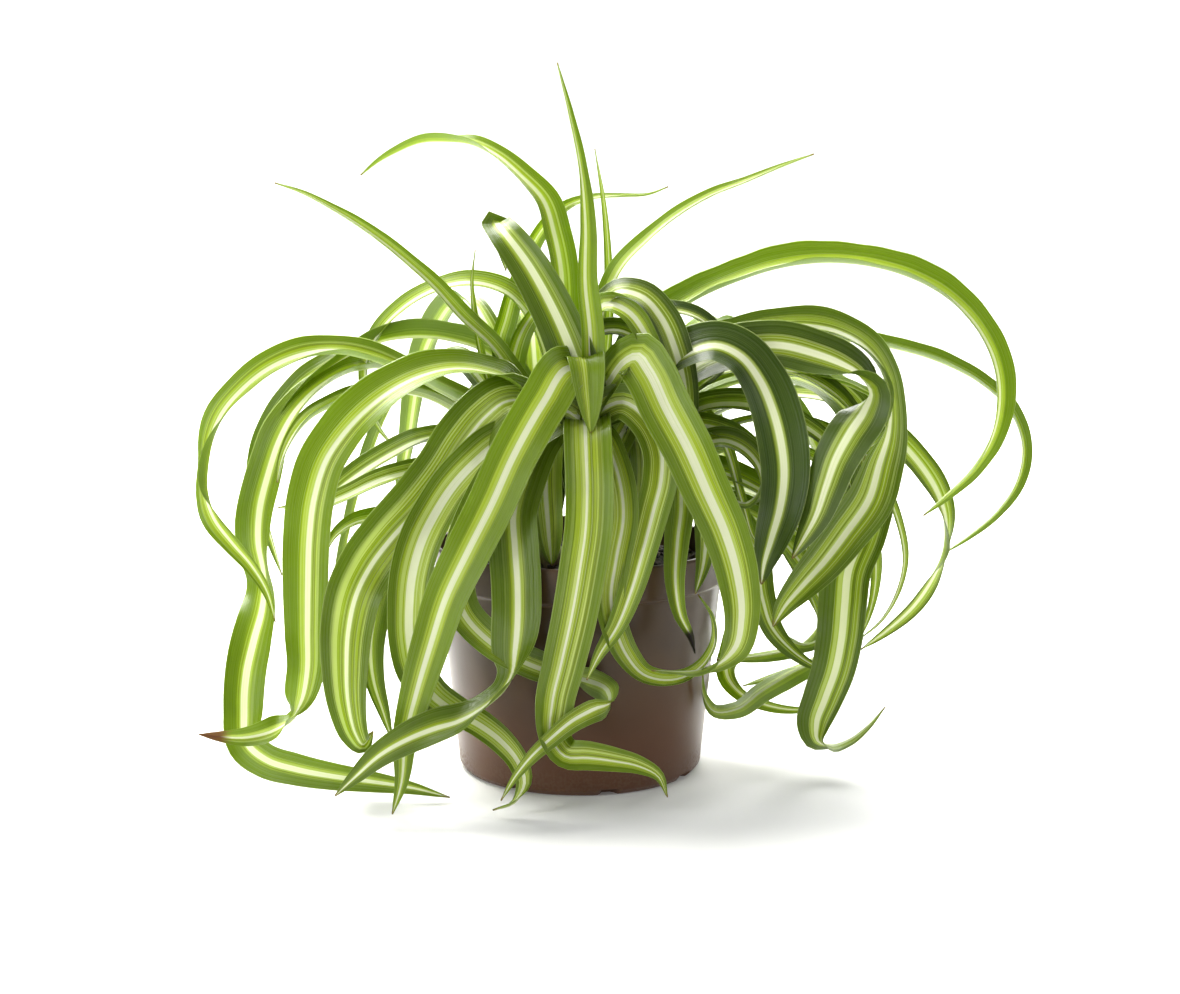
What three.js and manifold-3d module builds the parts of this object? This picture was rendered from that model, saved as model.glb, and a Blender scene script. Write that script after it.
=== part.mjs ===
// A curly variegated spider plant in a brown nursery pot, in millimetres, +Z up.
// The pot stands on z = 0 with its axis on the Z axis, and the plant's front faces -Y.
// Three rosettes share the pot: a tall one in front, one on the left and one on the right.
import * as THREE from 'three';
import { mergeVertices } from 'three/addons/utils/BufferGeometryUtils.js';
import Module from 'manifold-3d';

const wasm = await Module();
wasm.setup();

// Driving dimensions
const POT_HEIGHT = 94.5;
const RIM_RADIUS = 60;
const COLLAR_HEIGHT = 15;
const COLLAR_STEP = 1.6;
const BASE_RADIUS = 50.5;
const FOOT_RADIUS = 48.5;
const WALL = 1.7;
const FLOOR = 4.4;
const NOTCH = { count: 8, width: 6, height: 2.6, depth: 4 };
const SOIL_LEVEL = 84.5;
const GAP = 0.3;
const BLADE_THICKNESS = 0.9;

// Where each rosette's stock stands: centre, foot and top, and radius at foot and top
const STOCKS = {
  front: { x: 2, y: -30, foot: 70, top: 150, wide: 6.5, narrow: 3.6 },
  left: { x: -15, y: 6, foot: 70, top: 97, wide: 9, narrow: 6.5 },
  right: { x: 16, y: 10, foot: 70, top: 97, wide: 9, narrow: 6.5 },
};

// The photograph's eye: how far in front of the pot's axis it is, and how high
const EYE_DISTANCE = 885;
const EYE_HEIGHT = 265;

// Each leaf is [name, width, taper, fold, points]. A point is [across, height, depth, face]:
// where the midrib is seen on the upright plane through the pot's axis, how far behind that
// plane it really is, and how many degrees the blade is turned about its midrib from facing
// the eye. Taper is how late the blade narrows, and fold how steeply its halves rise.
const FRONT_LEAVES = [
  ["tall", 13.5, 2.2, 30, [[4, 160, -33, 20], [4, 180, -29, 25], [2, 200, -26, 28], [2, 225, -20, 35],
    [0, 248, -14, 55], [-4, 268, -10, 60], [-9, 289, -6, 60]]],
  ["bent_back", 20.5, 3.5, 16, [[0, 160, -32, 10], [-5, 175, -29, 10], [-13, 193, -23, 12],
    [-22, 209, -17, 12], [-30, 220, -10, 16], [-34, 225, 0, 20], [-33.5, 224.5, 9, 24],
    [-31.5, 216, 16, 28], [-30, 206, 18, 30]]],
  ["left_strap", 20, 4.5, 13, [[-0.5, 158, -32, 10], [-2.5, 166.5, -34.5, 8], [-5.5, 166, -38, 6],
    [-14.5, 153, -45.5, 4], [-27.5, 130, -53, 4], [-36.5, 110, -58, 5], [-46.5, 90, -63, 5],
    [-56, 70, -66, 5], [-62.5, 50, -69, 5], [-68.5, 30, -71, 6], [-73.5, 10, -73, 6], [-75.5, -10, -75, 10],
    [-79.5, -23.5, -77, 15]]],
  ["right_strap", 21.5, 4.5, 14, [[7, 152, -32, -10], [12.5, 161, -31, -8], [18.5, 169, -32, -5],
    [23, 171, -34.5, -4], [27.5, 165.5, -38.5, -4], [35, 150, -46, -6], [44, 133, -53, -8],
    [52, 115, -58, -10], [60, 97, -63, -12], [65, 80, -66, -14], [67, 62, -68, -18], [64.5, 49, -69, -30],
    [58.5, 42.5, -69, -70], [49, 38.5, -72, -100], [39, 38.2, -75, -90], [30, 39, -77, -80]]],
  ["middle_strap", 19.5, 4.5, 16, [[3, 145, -36.4, 5], [3, 142, -45, 3], [3.5, 130, -56, 0],
    [4, 115, -63, 0], [3.5, 100, -66, 0], [1, 82, -67.5, 0], [-2.5, 62, -68, -2], [-7, 42, -69, -4],
    [-11, 24, -71, -8], [-11.5, 10, -74, -30], [-6, 2.5, -77, -25], [3, 2, -78, -10], [14, 0.5, -78, -6],
    [25, -2, -78, -8], [33, -6.5, -78, -20], [37, -16, -78, -30]]],
  ["keel", 17, 6, 14, [[1.5, 158, -28, 0], [1.8, 167, -30, 0], [2.2, 171, -34.5, 0], [3, 167, -39.5, 0],
    [3.7, 158, -43.5, 0], [4.2, 149, -46.5, 0], [4.5, 139.5, -48.5, 0]]],
  ["right_curl", 14, 4, 22, [[8, 138, -40, -15], [14, 125, -50, -12], [17, 105, -60, -12],
    [14, 86, -63, -12], [12, 70, -64, -12], [14, 57, -65, -20], [19, 45, -66, -30], [26, 37, -68, -40],
    [35, 34.5, -70, -45], [44, 36, -70, -50], [52, 42, -68, -60], [56.5, 52, -64, -70],
    [55.5, 62, -62, -80], [49, 71.5, -60, -90]]],
  ["thin_right", 16, 4, 20, [[8, 148, -37, -20], [17, 152, -38, -15], [27, 145, -43, -8],
    [33, 132, -47.5, -4], [33, 120, -52, 0], [30, 107, -56.5, 3], [26, 91, -61, 5], [21, 73, -64.5, 6],
    [15, 57.5, -67, 8], [8, 46, -69, 12], [2.8, 35, -71, 20]]],
  ["dry_tip", 15, 3.6, 24, [[8, 146, -35, -30], [20, 150, -35, -20], [33, 141, -38, -10],
    [40, 126, -42.5, -4], [41.5, 110, -47, 0], [40, 93, -52, 0], [39.5, 76, -57, 0], [42, 62, -60.5, -6],
    [46, 54, -62, -12], [48, 46.5, -63, -20]]],
  ["left_twist", 21, 5, 16, [[0, 146, -38, 15], [-7, 150, -40, 12], [-16, 139, -42, 10],
    [-24, 121, -47, 6], [-28, 106, -51, 3], [-27.5, 92, -56, 0], [-26.5, 76, -61.5, 0], [-26.5, 60, -65, 5],
    [-27.5, 47, -67, 35], [-28.5, 38, -69, 66], [-32, 31.5, -71, 78], [-37.5, 26, -73, 76],
    [-43.5, 21.5, -75, 64], [-51, 17.5, -77, 44], [-61, 14.5, -79, 22], [-72, 10, -81, 6], [-84, 3, -82, 0],
    [-95, -7, -82, 4], [-103.7, -15.5, -82, 15]]],
  ["zigzag", 15, 4, 16, [[-3, 146, -40, 25], [-14, 142, -44, 22], [-30, 128, -46, 20],
    [-43, 106, -53, 20], [-50, 84, -56.5, 18], [-48, 65, -58, 10], [-38, 53, -61, 0],
    [-25, 44.5, -63.5, -5], [-10, 38.5, -65, -20], [3, 34.5, -66, -150], [11, 30.5, -67, -170],
    [13, 25.5, -69.5, -95], [6, 22, -72.5, -10], [-3, 17, -74.5, 0], [-12, 9.5, -77, 0], [-20, 2, -79, 0],
    [-26.5, -6, -80, 5], [-33.5, -17.5, -80, 10]]],
];

const LEFT_LEAVES = [
  ["outer_arc", 19, 4, 30, [[-24, 140, 6, 80], [-44, 150, 8, 80], [-58, 157.5, 8, 78], [-72, 165, 8, 75],
    [-86, 170.5, 7, 70], [-100, 173, 5, 65], [-114, 171, 2, 55], [-127, 165.5, 0, 50], [-138, 157, -2, 50],
    [-146, 148, -4, 55], [-151.5, 137, -6, 70], [-154, 126, -8, 88], [-154.5, 115, -10, 80],
    [-151, 104, -12, 45], [-144, 94, -14, 30], [-136, 84, -16, 28], [-130, 73, -18, 25],
    [-127, 60, -20, 25]]],
  ["far_arc", 18.5, 4, 32, [[-22, 152, 22, 105], [-30, 166, 24, 112], [-40, 174, 28, 116],
    [-52, 178, 32, 116], [-66, 179.5, 36, 112], [-80, 178, 38, 100], [-92, 173.5, 38, 86],
    [-103, 167, 37, 72], [-113, 160, 36, 60], [-121, 151, 35, 55], [-127, 141, 34, 50], [-131, 130, 33, 48],
    [-133, 119, 32, 45], [-131, 107, 31, 45], [-127.5, 94, 30, 50], [-124, 80, 29, 55]]],
  ["left_strap", 21, 6, 20, [[-24, 155, -8, 80], [-30, 162, -11, 75], [-40, 165.5, -15, 68],
    [-52, 166.5, -20, 60], [-64, 164, -24, 50], [-76, 158.5, -29, 40], [-86, 151.5, -33, 32],
    [-97, 140.5, -37, 25], [-105, 129, -40, 18], [-110.5, 113, -43, 10], [-113, 96, -45, 6],
    [-114, 76, -47, 4], [-114.5, 56, -48, 2], [-115, 38, -49, 2], [-117.5, 25.5, -49, 40],
    [-121, 18.5, -49, 85], [-129, 13.5, -50, 30], [-140, 10.5, -51, 5], [-151, 10.5, -52, 5],
    [-160.5, 11.5, -52, 10]]],
  ["under_arc", 21.5, 5, 22, [[-26, 134, 26, 95], [-44, 150, 30, 90], [-62, 161, 31, 85],
    [-80, 167, 31, 80], [-95, 165, 30, 75], [-107, 158, 28, 68], [-116, 149, 25, 60], [-123, 137, 22, 50],
    [-128, 123, 18, 40], [-132, 108, 14, 35], [-133, 94, 9, 45], [-131, 80, 3, 60], [-132, 66, -5, 40],
    [-136, 52, -14, 25], [-139.5, 38, -22, 12], [-141, 22, -29, 8], [-140, 8, -35, 25],
    [-132, 0.5, -41, 15], [-120, -3.5, -45, 5], [-105, -6.5, -49, 5], [-88, -9, -52, 5],
    [-70, -12, -55, 10], [-55, -16, -57, 20]]],
  ["low_arc", 16.5, 4, 30, [[-26, 128, 10, 90], [-40, 139, 14, 85], [-52, 149, 17, 82],
    [-64, 155, 18, 80], [-78, 157, 18, 78], [-90, 155.5, 17, 75], [-101, 151.5, 15, 72],
    [-111, 146, 12, 66], [-118, 138, 10, 60], [-122.5, 129, 8, 60], [-125, 119, 6, 60]]],
  ["broad", 25, 6, 14, [[-17, 142, -16, 60], [-24, 153.5, -20, 50], [-31, 153, -24, 42],
    [-39, 147, -25, 32], [-48, 136, -28.5, 24], [-57, 122, -33, 18], [-68, 108, -38.5, 14],
    [-79, 96, -43, 10], [-88, 84, -47, 6], [-94, 72, -52, 3], [-97.5, 57, -54, 0], [-98.5, 41, -55, 0],
    [-98, 26, -55, 2], [-95, 12, -52, 8], [-91, 7, -44, 10], [-87, 13, -37, 15]]],
  ["front_curl", 18.5, 5, 20, [[-14, 130, -24, 60], [-22, 139, -29, 48], [-33, 135.5, -34, 36],
    [-43, 127.5, -40, 28], [-52, 118, -42, 20], [-60, 106, -46, 15], [-66, 94, -51.5, 10],
    [-70, 80, -56, 6], [-71.5, 66, -59, 3], [-71.5, 52, -61, 0], [-69, 39, -62, -5], [-62, 28, -64, -20],
    [-52, 20.5, -66, -30], [-42, 15, -68.5, -25], [-33, 8, -71, -15], [-26, -1, -73, -5],
    [-23.5, -10, -74.5, 20], [-28, -18, -76, 80], [-37, -21.5, -76, 110]]],
  ["second_hang", 15.5, 4.5, 20, [[-20, 120, -10, 70], [-36, 130, -14, 60], [-50, 126, -20, 45],
    [-63, 114, -26, 30], [-73, 98, -32, 20], [-80, 80, -37, 12], [-85, 63, -40, 6], [-87, 48, -42, 2],
    [-86, 35, -43, 0], [-82, 20, -44, 0], [-79, 9, -44, 5]]],
  ["mid_arc", 18, 4, 26, [[-24, 118, 0, 85], [-38, 130, 2, 80], [-52, 137.5, 2, 74], [-64, 136.5, 1, 66],
    [-77, 130.5, -2, 60], [-90, 122.5, -6, 55], [-102, 113, -10, 50], [-111, 100, -14, 50],
    [-114, 84, -18, 55]]],
  ["mid_strap", 16.5, 4, 26, [[-24, 108, -4, 85], [-40, 119, -6, 78], [-56, 124, -8, 70],
    [-70, 122.5, -12, 62], [-84, 118.5, -18, 55], [-96, 113, -24, 50], [-108, 108.5, -28, 50],
    [-125, 108.5, -30, 55]]],
  ["low_strap", 13.5, 4, 24, [[-24, 98, 6, 85], [-42, 106, 6, 78], [-62, 107, 4, 62], [-80, 104.5, 0, 50],
    [-94, 102, -4, 45], [-102, 96, -8, 45], [-106, 88, -10, 50]]],
  ["top_arc", 18, 3.6, 24, [[-11, 160, 16, 40], [-8, 185, 18, 40], [-8, 205, 20, 40],
    [-11, 221.5, 22, 42], [-15, 234, 25, 46], [-24, 244, 28, 54], [-34, 252.5, 31, 64],
    [-44, 257.5, 33, 80], [-54, 258.5, 35, 98], [-64, 258, 37, 110], [-74, 254, 38, 112],
    [-82, 249.5, 39, 110], [-88.5, 244.5, 40, 108]]],
  ["straight", 14.5, 2.4, 30, [[-26, 160, 2, 64], [-36, 175, 2, 58], [-49, 187.5, 2, 54],
    [-60, 200, 1, 54], [-72, 211, 0, 54], [-86, 222, -1, 56], [-100, 231, -2, 60], [-112, 237.5, -3, 66],
    [-123, 241.5, -4, 70]]],
  ["thin_up", 6.5, 2.2, 30, [[-34, 150, 8, 40], [-40, 170, 8, 30], [-43, 188, 8, 25], [-44, 202, 8, 20],
    [-42.5, 214.5, 8, 30]]],
  ["thin_flat", 12, 2.2, 26, [[-22, 158, 18, 20], [-31, 167, 24, 20], [-32.6, 176.5, 27, 15],
    [-30, 186, 29, 10], [-27.4, 195.5, 31, 10], [-23.6, 205.6, 32, 8], [-19.3, 215.8, 33, 5],
    [-12.7, 225.5, 34, -8], [-5, 232, 34, -30], [6, 235.5, 33, -55], [17, 236.2, 32, -68],
    [28, 237, 31, -74], [35.5, 240, 31, -75]]],
  ["up_broad", 13.5, 3, 24, [[-28, 165, 12, 20], [-23.5, 181, 14, 20], [-18, 190, 16, 20],
    [-12, 201, 18, 20], [-10, 208, 20, 20]]],
  ["front_fill", 13.5, 14, 22, [[-12, 126, -8, 12], [-10, 143, -17, 12], [-11, 143, -26, 10],
    [-13, 132, -36, 8], [-13.5, 117, -43, 6], [-12.5, 101, -47, 6], [-11.5, 84, -49, 6]]],
  ["side_fill", 14.5, 4.5, 22, [[-18, 120, -6, 14], [-14, 140, -14, 14], [-22, 137, -24, 12],
    [-32, 124, -32, 8], [-40, 110, -38, 6], [-46, 93, -43, 5], [-50.5, 79, -46, 5]]],
  ["inner_fill", 15.5, 8, 20, [[-13, 122, -6, 15], [-10, 138, -12, 15], [-13, 142, -19, 12],
    [-18, 131, -27, 10], [-21.5, 115, -34, 8], [-21.5, 100, -38, 6], [-20.5, 86, -40, 5]]],
  ["high_arc", 14.5, 4, 26, [[-12, 160, 18, 60], [-20, 186, 22, 58], [-30, 197, 25, 58],
    [-43.7, 201, 28, 58], [-58, 198.5, 31, 58], [-71.7, 191, 33, 58], [-81.3, 181.4, 34, 60],
    [-86.9, 169.6, 34, 62], [-87.5, 156, 33, 64], [-83, 143, 31, 66], [-76, 133, 29, 66]]],
];

const RIGHT_LEAVES = [
  ["thin_up", 7, 2.2, 30, [[10, 160, 14, -20], [12, 190, 14, -15], [11.5, 212, 14, -10],
    [9.7, 233, 14, -10], [6, 255, 13, -20]]],
  ["up_right", 13, 2.4, 30, [[8, 170, 4, -50], [10, 192, 2, -50], [17, 208, 1, -52], [27, 218.5, 0, -54],
    [40, 229, 0, -56], [53, 236.5, -1, -57], [68, 242.5, -2, -60], [81, 248, -3, -64], [94, 253, -4, -68]]],
  ["big_arc", 20.5, 4.5, 34, [[16, 150, 16, -75], [24, 174, 17, -68], [36, 188, 17, -62],
    [48, 195.5, 17, -60], [64, 202.5, 16, -60], [82, 208, 15, -62], [100, 210, 13, -64],
    [118, 208.5, 10, -64], [134, 204, 7, -62], [149, 196, 4, -58], [161, 184.5, 1, -54],
    [169, 170.5, -2, -50], [172, 154, -5, -50], [169.5, 138, -8, -54], [162, 124.5, -10, -60],
    [152, 114, -12, -62], [142, 105, -13, -62]]],
  ["far_arc", 13.5, 4, 32, [[22, 140, 40, -85], [40, 160, 46, -80], [62, 172, 52, -76],
    [86, 178, 56, -74], [108, 178, 58, -72], [128, 175, 58, -70], [148, 169, 57, -68], [165, 160, 55, -66],
    [177, 148.5, 52, -62], [182.5, 134, 48, -58], [180.5, 119, 44, -58], [173, 107, 40, -62],
    [162, 97, 36, -64], [150, 88.5, 32, -66]]],
  ["striped_arc", 22, 12, 22, [[18, 148, 0, -80], [32, 165, 0, -75], [48, 175, 0, -70],
    [62, 179, -1, -66], [78, 183, -2, -64], [92, 183.5, -3, -62], [105, 181, -5, -62], [116, 175, -8, -65],
    [124, 165, -12, -75], [127, 153, -16, -80], [126.5, 140, -20, -60], [123, 127, -23, -35],
    [119, 112, -25, -15], [110, 98, -27, -5], [101, 85.5, -29, 0], [92, 75, -30, 5], [85.5, 67, -31, 10],
    [80.5, 58, -31, 15]]],
  ["wide_arc", 22, 8, 12, [[18, 136, -12, -60], [34, 156, -14, -50], [52, 170, -16, -42],
    [68, 175, -18, -35], [82, 175.5, -20, -30], [95, 172.5, -22, -32], [107, 168, -25, -48],
    [116, 162.5, -29, -78], [119.5, 156.5, -33, -112], [117, 149, -37, -145], [111, 139.5, -40, -168],
    [105.5, 129, -41, -178], [101.5, 117, -42, -180], [97.5, 104.5, -42, -180], [92, 94, -42, -175],
    [88, 87, -42, -170]]],
  ["small_curl", 9, 4, 26, [[20, 130, 10, -85], [44, 152, 10, -80], [70, 162, 8, -78], [96, 163, 4, -76],
    [114, 158, 0, -72], [124.5, 151, -4, -60], [127, 142, -8, -40], [122, 135.5, -12, -20],
    [114, 130.5, -15, 0], [108, 123, -17, 20], [106, 112, -18, 30]]],
  ["dark_droop", 22, 10, 15, [[16, 142, -16, -60], [28, 160, -18, -55], [42, 172, -21, -50],
    [56, 176, -24, -42], [66, 171.5, -28, -34], [74, 161.5, -32, -26], [79.5, 149, -35, -18],
    [83, 136, -37, -10], [84.5, 122, -39, -5], [83, 108, -41, 0], [79.5, 95, -42, 5], [76.5, 84, -43, 8],
    [75.5, 76, -43, 10]]],
  ["inner_arc", 17, 5, 18, [[8, 170, -10, -80], [8, 190, -10, -72], [16, 197.5, -13, -60],
    [25, 195.5, -16, -48], [33, 187, -19, -36], [38.5, 175, -22, -26], [42, 162, -25, -18],
    [43.5, 148, -27, -12], [43, 134, -29, -8], [40, 120, -31, -4]]],
  ["pale_arc", 14.5, 4, 22, [[6, 165, -14, -75], [4, 184, -16, -60], [11, 192, -20, -45],
    [19, 189, -24, -36], [26, 180, -27, -28], [31, 168, -30, -22], [34, 154, -32, -18],
    [35, 140, -33, -14]]],
  ["dark_curl", 14.5, 4, 22, [[14, 165, 4, -75], [22, 182, 4, -72], [34, 189.5, 2, -66],
    [46, 188, -1, -62], [55, 181.5, -4, -60], [59.5, 172.5, -7, -64], [57, 164.5, -10, -88],
    [50, 159, -12, -105], [44, 154, -13, -110]]],
  ["inner_bow", 15.5, 4, 24, [[6, 156, -8, -70], [3, 172, -9, -60], [8, 181, -11, -50],
    [16, 182, -13, -42], [24, 178, -15, -38], [30, 170, -17, -34], [35, 160, -19, -30]]],
  ["second_bow", 17, 4, 26, [[18, 140, 8, -70], [34, 154, 8, -64], [52, 163, 7, -60], [72, 166.5, 5, -56],
    [88, 164.5, 2, -54], [100, 159, -2, -52], [110, 150.5, -6, -50], [116, 140, -10, -46],
    [117, 128, -12, -42]]],
  ["third_bow", 18, 4, 26, [[18, 124, 2, -70], [36, 142, 0, -62], [54, 150.5, -3, -56],
    [72, 150, -7, -50], [86, 145, -10, -46], [98, 138, -12, -42], [108, 128, -14, -38],
    [112, 116, -16, -34]]],
  ["fourth_bow", 16.5, 4, 24, [[18, 118, -6, -66], [34, 134, -9, -58], [48, 142, -13, -52],
    [60, 139.5, -17, -46], [70, 133, -20, -42], [77, 124, -23, -38], [80, 112, -25, -34]]],
  ["loop_leaf", 14.5, 4, 22, [[18, 112, -10, -66], [34, 126, -15, -58], [48, 134, -20, -50],
    [60, 136.5, -24, -42], [69, 132, -27, -40], [74.5, 124, -29, -46], [74.5, 115, -31, -70],
    [69, 110, -32, -105], [62, 112.5, -33, -125], [58, 119, -33, -135]]],
  ["low_bow", 16.5, 4, 24, [[18, 106, 8, -70], [36, 120, 6, -62], [54, 124, 2, -56], [68, 119.5, -3, -50],
    [80, 112, -8, -46], [90, 101, -12, -42], [95, 88, -14, -38]]],
  ["hanging", 22.5, 7, 16, [[20, 128, 22, -80], [42, 150, 24, -72], [68, 163, 24, -64],
    [92, 162, 20, -56], [109, 151, 14, -46], [117, 134, 6, -34], [119, 115, 0, -22], [116, 98, -6, -12],
    [110.5, 82, -10, -4], [109.3, 67, -13, 0], [108.3, 53, -15, 0], [106, 39.5, -17, 0], [102, 27, -18, 5],
    [98.8, 16, -19, 20], [100, 8.5, -20, 60], [105.5, 6.3, -20, 95], [113, 8.5, -20, 100],
    [121, 14.5, -20, 95], [128.5, 23.5, -20, 90]]],
  ["right_leaf", 16, 5, 18, [[22, 120, 26, -80], [46, 142, 30, -76], [74, 154, 30, -72],
    [100, 153.5, 27, -66], [117, 146.5, 23, -58], [129, 137.5, 19, -45], [139, 127, 15, -38],
    [147, 115, 11, -45], [151.5, 101, 8, -75], [151, 89, 6, -95], [146, 78, 4, -60], [138, 66, 2, -40],
    [128, 56.5, 0, -35], [117, 48, -2, -35]]],
  ["thin_drop", 7.5, 3.5, 26, [[22, 116, 14, -80], [50, 138, 16, -76], [80, 146, 15, -72],
    [106, 139, 12, -65], [122, 122, 8, -55], [131, 104, 4, -45], [134.5, 86, 0, -50], [132, 73, -3, -60],
    [125, 60, -6, -60], [116, 52, -8, -60]]],
  ["mid_drop", 10, 3.5, 24, [[22, 108, 16, -80], [48, 128, 17, -74], [76, 135, 16, -68],
    [100, 126, 13, -56], [115, 108, 10, -40], [122, 90, 7, -25], [122.5, 75, 5, -15], [120, 62, 3, -10],
    [116, 51, 2, -10]]],
  ["low_right_a", 13, 4, 20, [[24, 100, 28, -80], [48, 116, 34, -72], [72, 114, 36, -60],
    [90, 98, 36, -50], [100, 78, 34, -50], [101, 60, 31, -75], [92, 49.5, 28, -120], [80, 46, 26, -150],
    [68, 44.5, 24, -160], [57, 44, 22, -165]]],
  ["low_right_b", 14, 4, 20, [[24, 96, 20, -80], [46, 108, 22, -72], [68, 106, 22, -60],
    [86, 92, 20, -50], [98, 74, 18, -48], [104, 56, 16, -60], [99, 44, 12, -100], [88, 37.5, 6, -140],
    [76, 30, -4, -160], [66, 22.5, -16, -170], [56, 22, -24, -200], [52, 29, -28, -230],
    [51.5, 38, -30, -250]]],
  ["low_right_c", 13.5, 4, 20, [[24, 100, 12, -80], [42, 112, 12, -70], [60, 108, 10, -50],
    [72, 91, 8, -30], [76, 70, 6, -15], [80, 58, 5, 0], [87, 49.5, 4, 25], [96, 42.5, 2, 30],
    [106, 38, 0, 30]]],
  ["low_right_d", 13.5, 4, 20, [[24, 104, 26, -80], [46, 115, 38, -66], [64, 108, 44, -50],
    [71, 88, 44, -30], [68, 66, 40, -10], [64, 50, 34, 5], [62, 38, 26, 25], [68, 29.5, 18, 45],
    [79, 24.5, 12, 40], [92, 22.5, 8, 35], [102, 24, 6, 30]]],
  ["front_fill", 12, 14, 22, [[23, 126, -4, -8], [28, 146, -12, -8], [22.5, 146.5, -20, -8],
    [15.5, 135.5, -28, -4], [12, 121, -35, 0], [11.5, 104, -40, 0], [12, 87, -43, 0]]],
  ["inner_fill", 15.5, 8, 20, [[17, 122, -4, -15], [20, 140, -10, -15], [24, 143, -18, -12],
    [27, 132, -27, -10], [27, 117, -34, -8], [25, 101, -38, -6], [24, 87, -41, -5]]],
  ["side_fill", 13.5, 6, 22, [[23, 124, -6, -14], [28, 142, -14, -14], [36, 141, -24, -12],
    [45, 129, -33, -10], [51, 113, -41, -8], [52, 98, -45, -6], [51, 84, -48, -4], [48, 72, -51, 0]]],
  ["low_right_e", 13, 4, 20, [[24, 98, 36, -80], [50, 118, 46, -72], [78, 118, 52, -64],
    [98, 104, 52, -56], [109, 84, 48, -50], [111, 66, 43, -60], [105, 51, 38, -100], [95, 42, 33, -135],
    [85, 38, 29, -150], [76, 35, 26, -160], [68, 32.5, 24, -165]]],
  ["low_right_f", 12.5, 4, 20, [[24, 100, 22, -80], [44, 114, 27, -72], [64, 112, 30, -60],
    [80, 98, 29, -50], [92, 80, 26, -45], [99, 64, 22, -60], [101, 53.5, 18, -100], [94, 50, 14, -130],
    [86, 53, 11, -145], [79.5, 58, 9, -150], [74.5, 64, 7, -150]]],
];

// Leaves behind the rosettes, and two short ones between them, all by one rule: [rosette, heading
// in degrees from +X, reach, rise above the stock, drop below it, width]
const BACK_LEAVES = [
  ['right', 28, 118, 66, 30, 13],
  ['right', 46, 138, 84, 8, 15],
  ['right', 62, 112, 58, 52, 14],
  ['right', 76, 142, 92, 24, 15],
  ['right', 90, 104, 48, 60, 13],
  ['left', 98, 126, 88, 36, 15],
  ['left', 112, 108, 60, 58, 14],
  ['left', 126, 140, 94, 12, 15],
  ['left', 140, 116, 70, 50, 14],
  ['left', 205, 62, 56, 4, 11],
  ['right', 338, 62, 56, 4, 11],
];

const radians = (degrees) => degrees * Math.PI / 180;

const ease = (x) => {
  const t = Math.min(1, Math.max(0, x));
  return t * t * (3 - 2 * t);
};

// Along the line of sight, from the upright plane to the point's own depth
function place([across, height, depth, face]) {
  const scale = (EYE_DISTANCE + depth) / EYE_DISTANCE;
  return [across * scale, depth, EYE_HEIGHT + (height - EYE_HEIGHT) * scale, face];
}

// A leaf starts inside its rosette's stock and leaves it towards its first traced point
function midrib(rosette, rows) {
  const stock = STOCKS[rosette];
  const first = place(rows[0]);
  const toward = new THREE.Vector2(first[0] - stock.x, first[1] - stock.y).normalize();
  const starts = rosette === 'front'
    ? [[1, stock.top - 50], [2.5, stock.top - 32]]
    : [[2, stock.foot + 16], [4.5, stock.top + 1]];
  const roots = starts
    .filter(([out, up], i) => i === 0 || first[2] > up + 6)
    .map(([out, up]) => [stock.x + out * toward.x, stock.y + out * toward.y, up, first[3]]);
  return [...roots, ...rows.map(place)];
}

// Smooth curve through all points: position and face together, eased by chord length
function smoothCurve(points) {
  const lengths = [0];
  for (let i = 1; i < points.length; i += 1) {
    const [a, b] = [points[i - 1], points[i]];
    lengths.push(lengths[i - 1] + Math.hypot(b[0] - a[0], b[1] - a[1], b[2] - a[2]));
  }
  const slope = (i) => points[i].map((v, k) => {
    return (points[i + 1][k] - v) / (lengths[i + 1] - lengths[i]);
  });
  const slopes = points.map((point, i) => {
    if (i === 0) return slope(0);
    if (i === points.length - 1) return slope(i - 1);
    const before = lengths[i] - lengths[i - 1];
    const after = lengths[i + 1] - lengths[i];
    const [a, b] = [slope(i - 1), slope(i)];
    return a.map((v, k) => (v * after + b[k] * before) / (before + after));
  });
  const total = lengths[lengths.length - 1];
  return (part) => {
    const reach = part * total;
    let i = 0;
    while (i < points.length - 2 && lengths[i + 1] < reach) i += 1;
    const step = lengths[i + 1] - lengths[i];
    const t = (reach - lengths[i]) / step;
    const weights = [
      (1 + 2 * t) * (1 - t) ** 2,
      t * (1 - t) ** 2 * step,
      t * t * (3 - 2 * t),
      t * t * (t - 1) * step,
    ];
    return points[i].map((v, k) => {
      return v * weights[0] + slopes[i][k] * weights[1]
        + points[i + 1][k] * weights[2] + slopes[i + 1][k] * weights[3];
    });
  };
}

// Stations along the blade, closer together where it bends or twists
function stations(curve, width) {
  const fine = 240;
  const samples = [];
  for (let i = 0; i <= fine; i += 1) samples.push(curve(i / fine));
  const directions = samples.map((p, i) => {
    const a = samples[Math.max(0, i - 1)];
    const b = samples[Math.min(fine, i + 1)];
    return new THREE.Vector3(b[0] - a[0], b[1] - a[1], b[2] - a[2]);
  });
  const costs = [0];
  for (let i = 1; i <= fine; i += 1) {
    const [a, b] = [samples[i - 1], samples[i]];
    const run = Math.hypot(b[0] - a[0], b[1] - a[1], b[2] - a[2]);
    const bend = THREE.MathUtils.radToDeg(directions[i - 1].angleTo(directions[i]));
    const twist = Math.abs(b[3] - a[3]);
    costs.push(costs[i - 1] + run / 60 + bend / 42 + twist / 60);
  }
  const total = costs[fine];
  const count = Math.ceil(total * (width < 16 ? 0.47 : 0.60));
  const parts = [];
  for (let s = 0, i = 0; s <= count; s += 1) {
    const goal = total * s / count;
    while (i < fine && costs[i] < goal) i += 1;
    parts.push(i / fine);
  }
  return parts;
}

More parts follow.
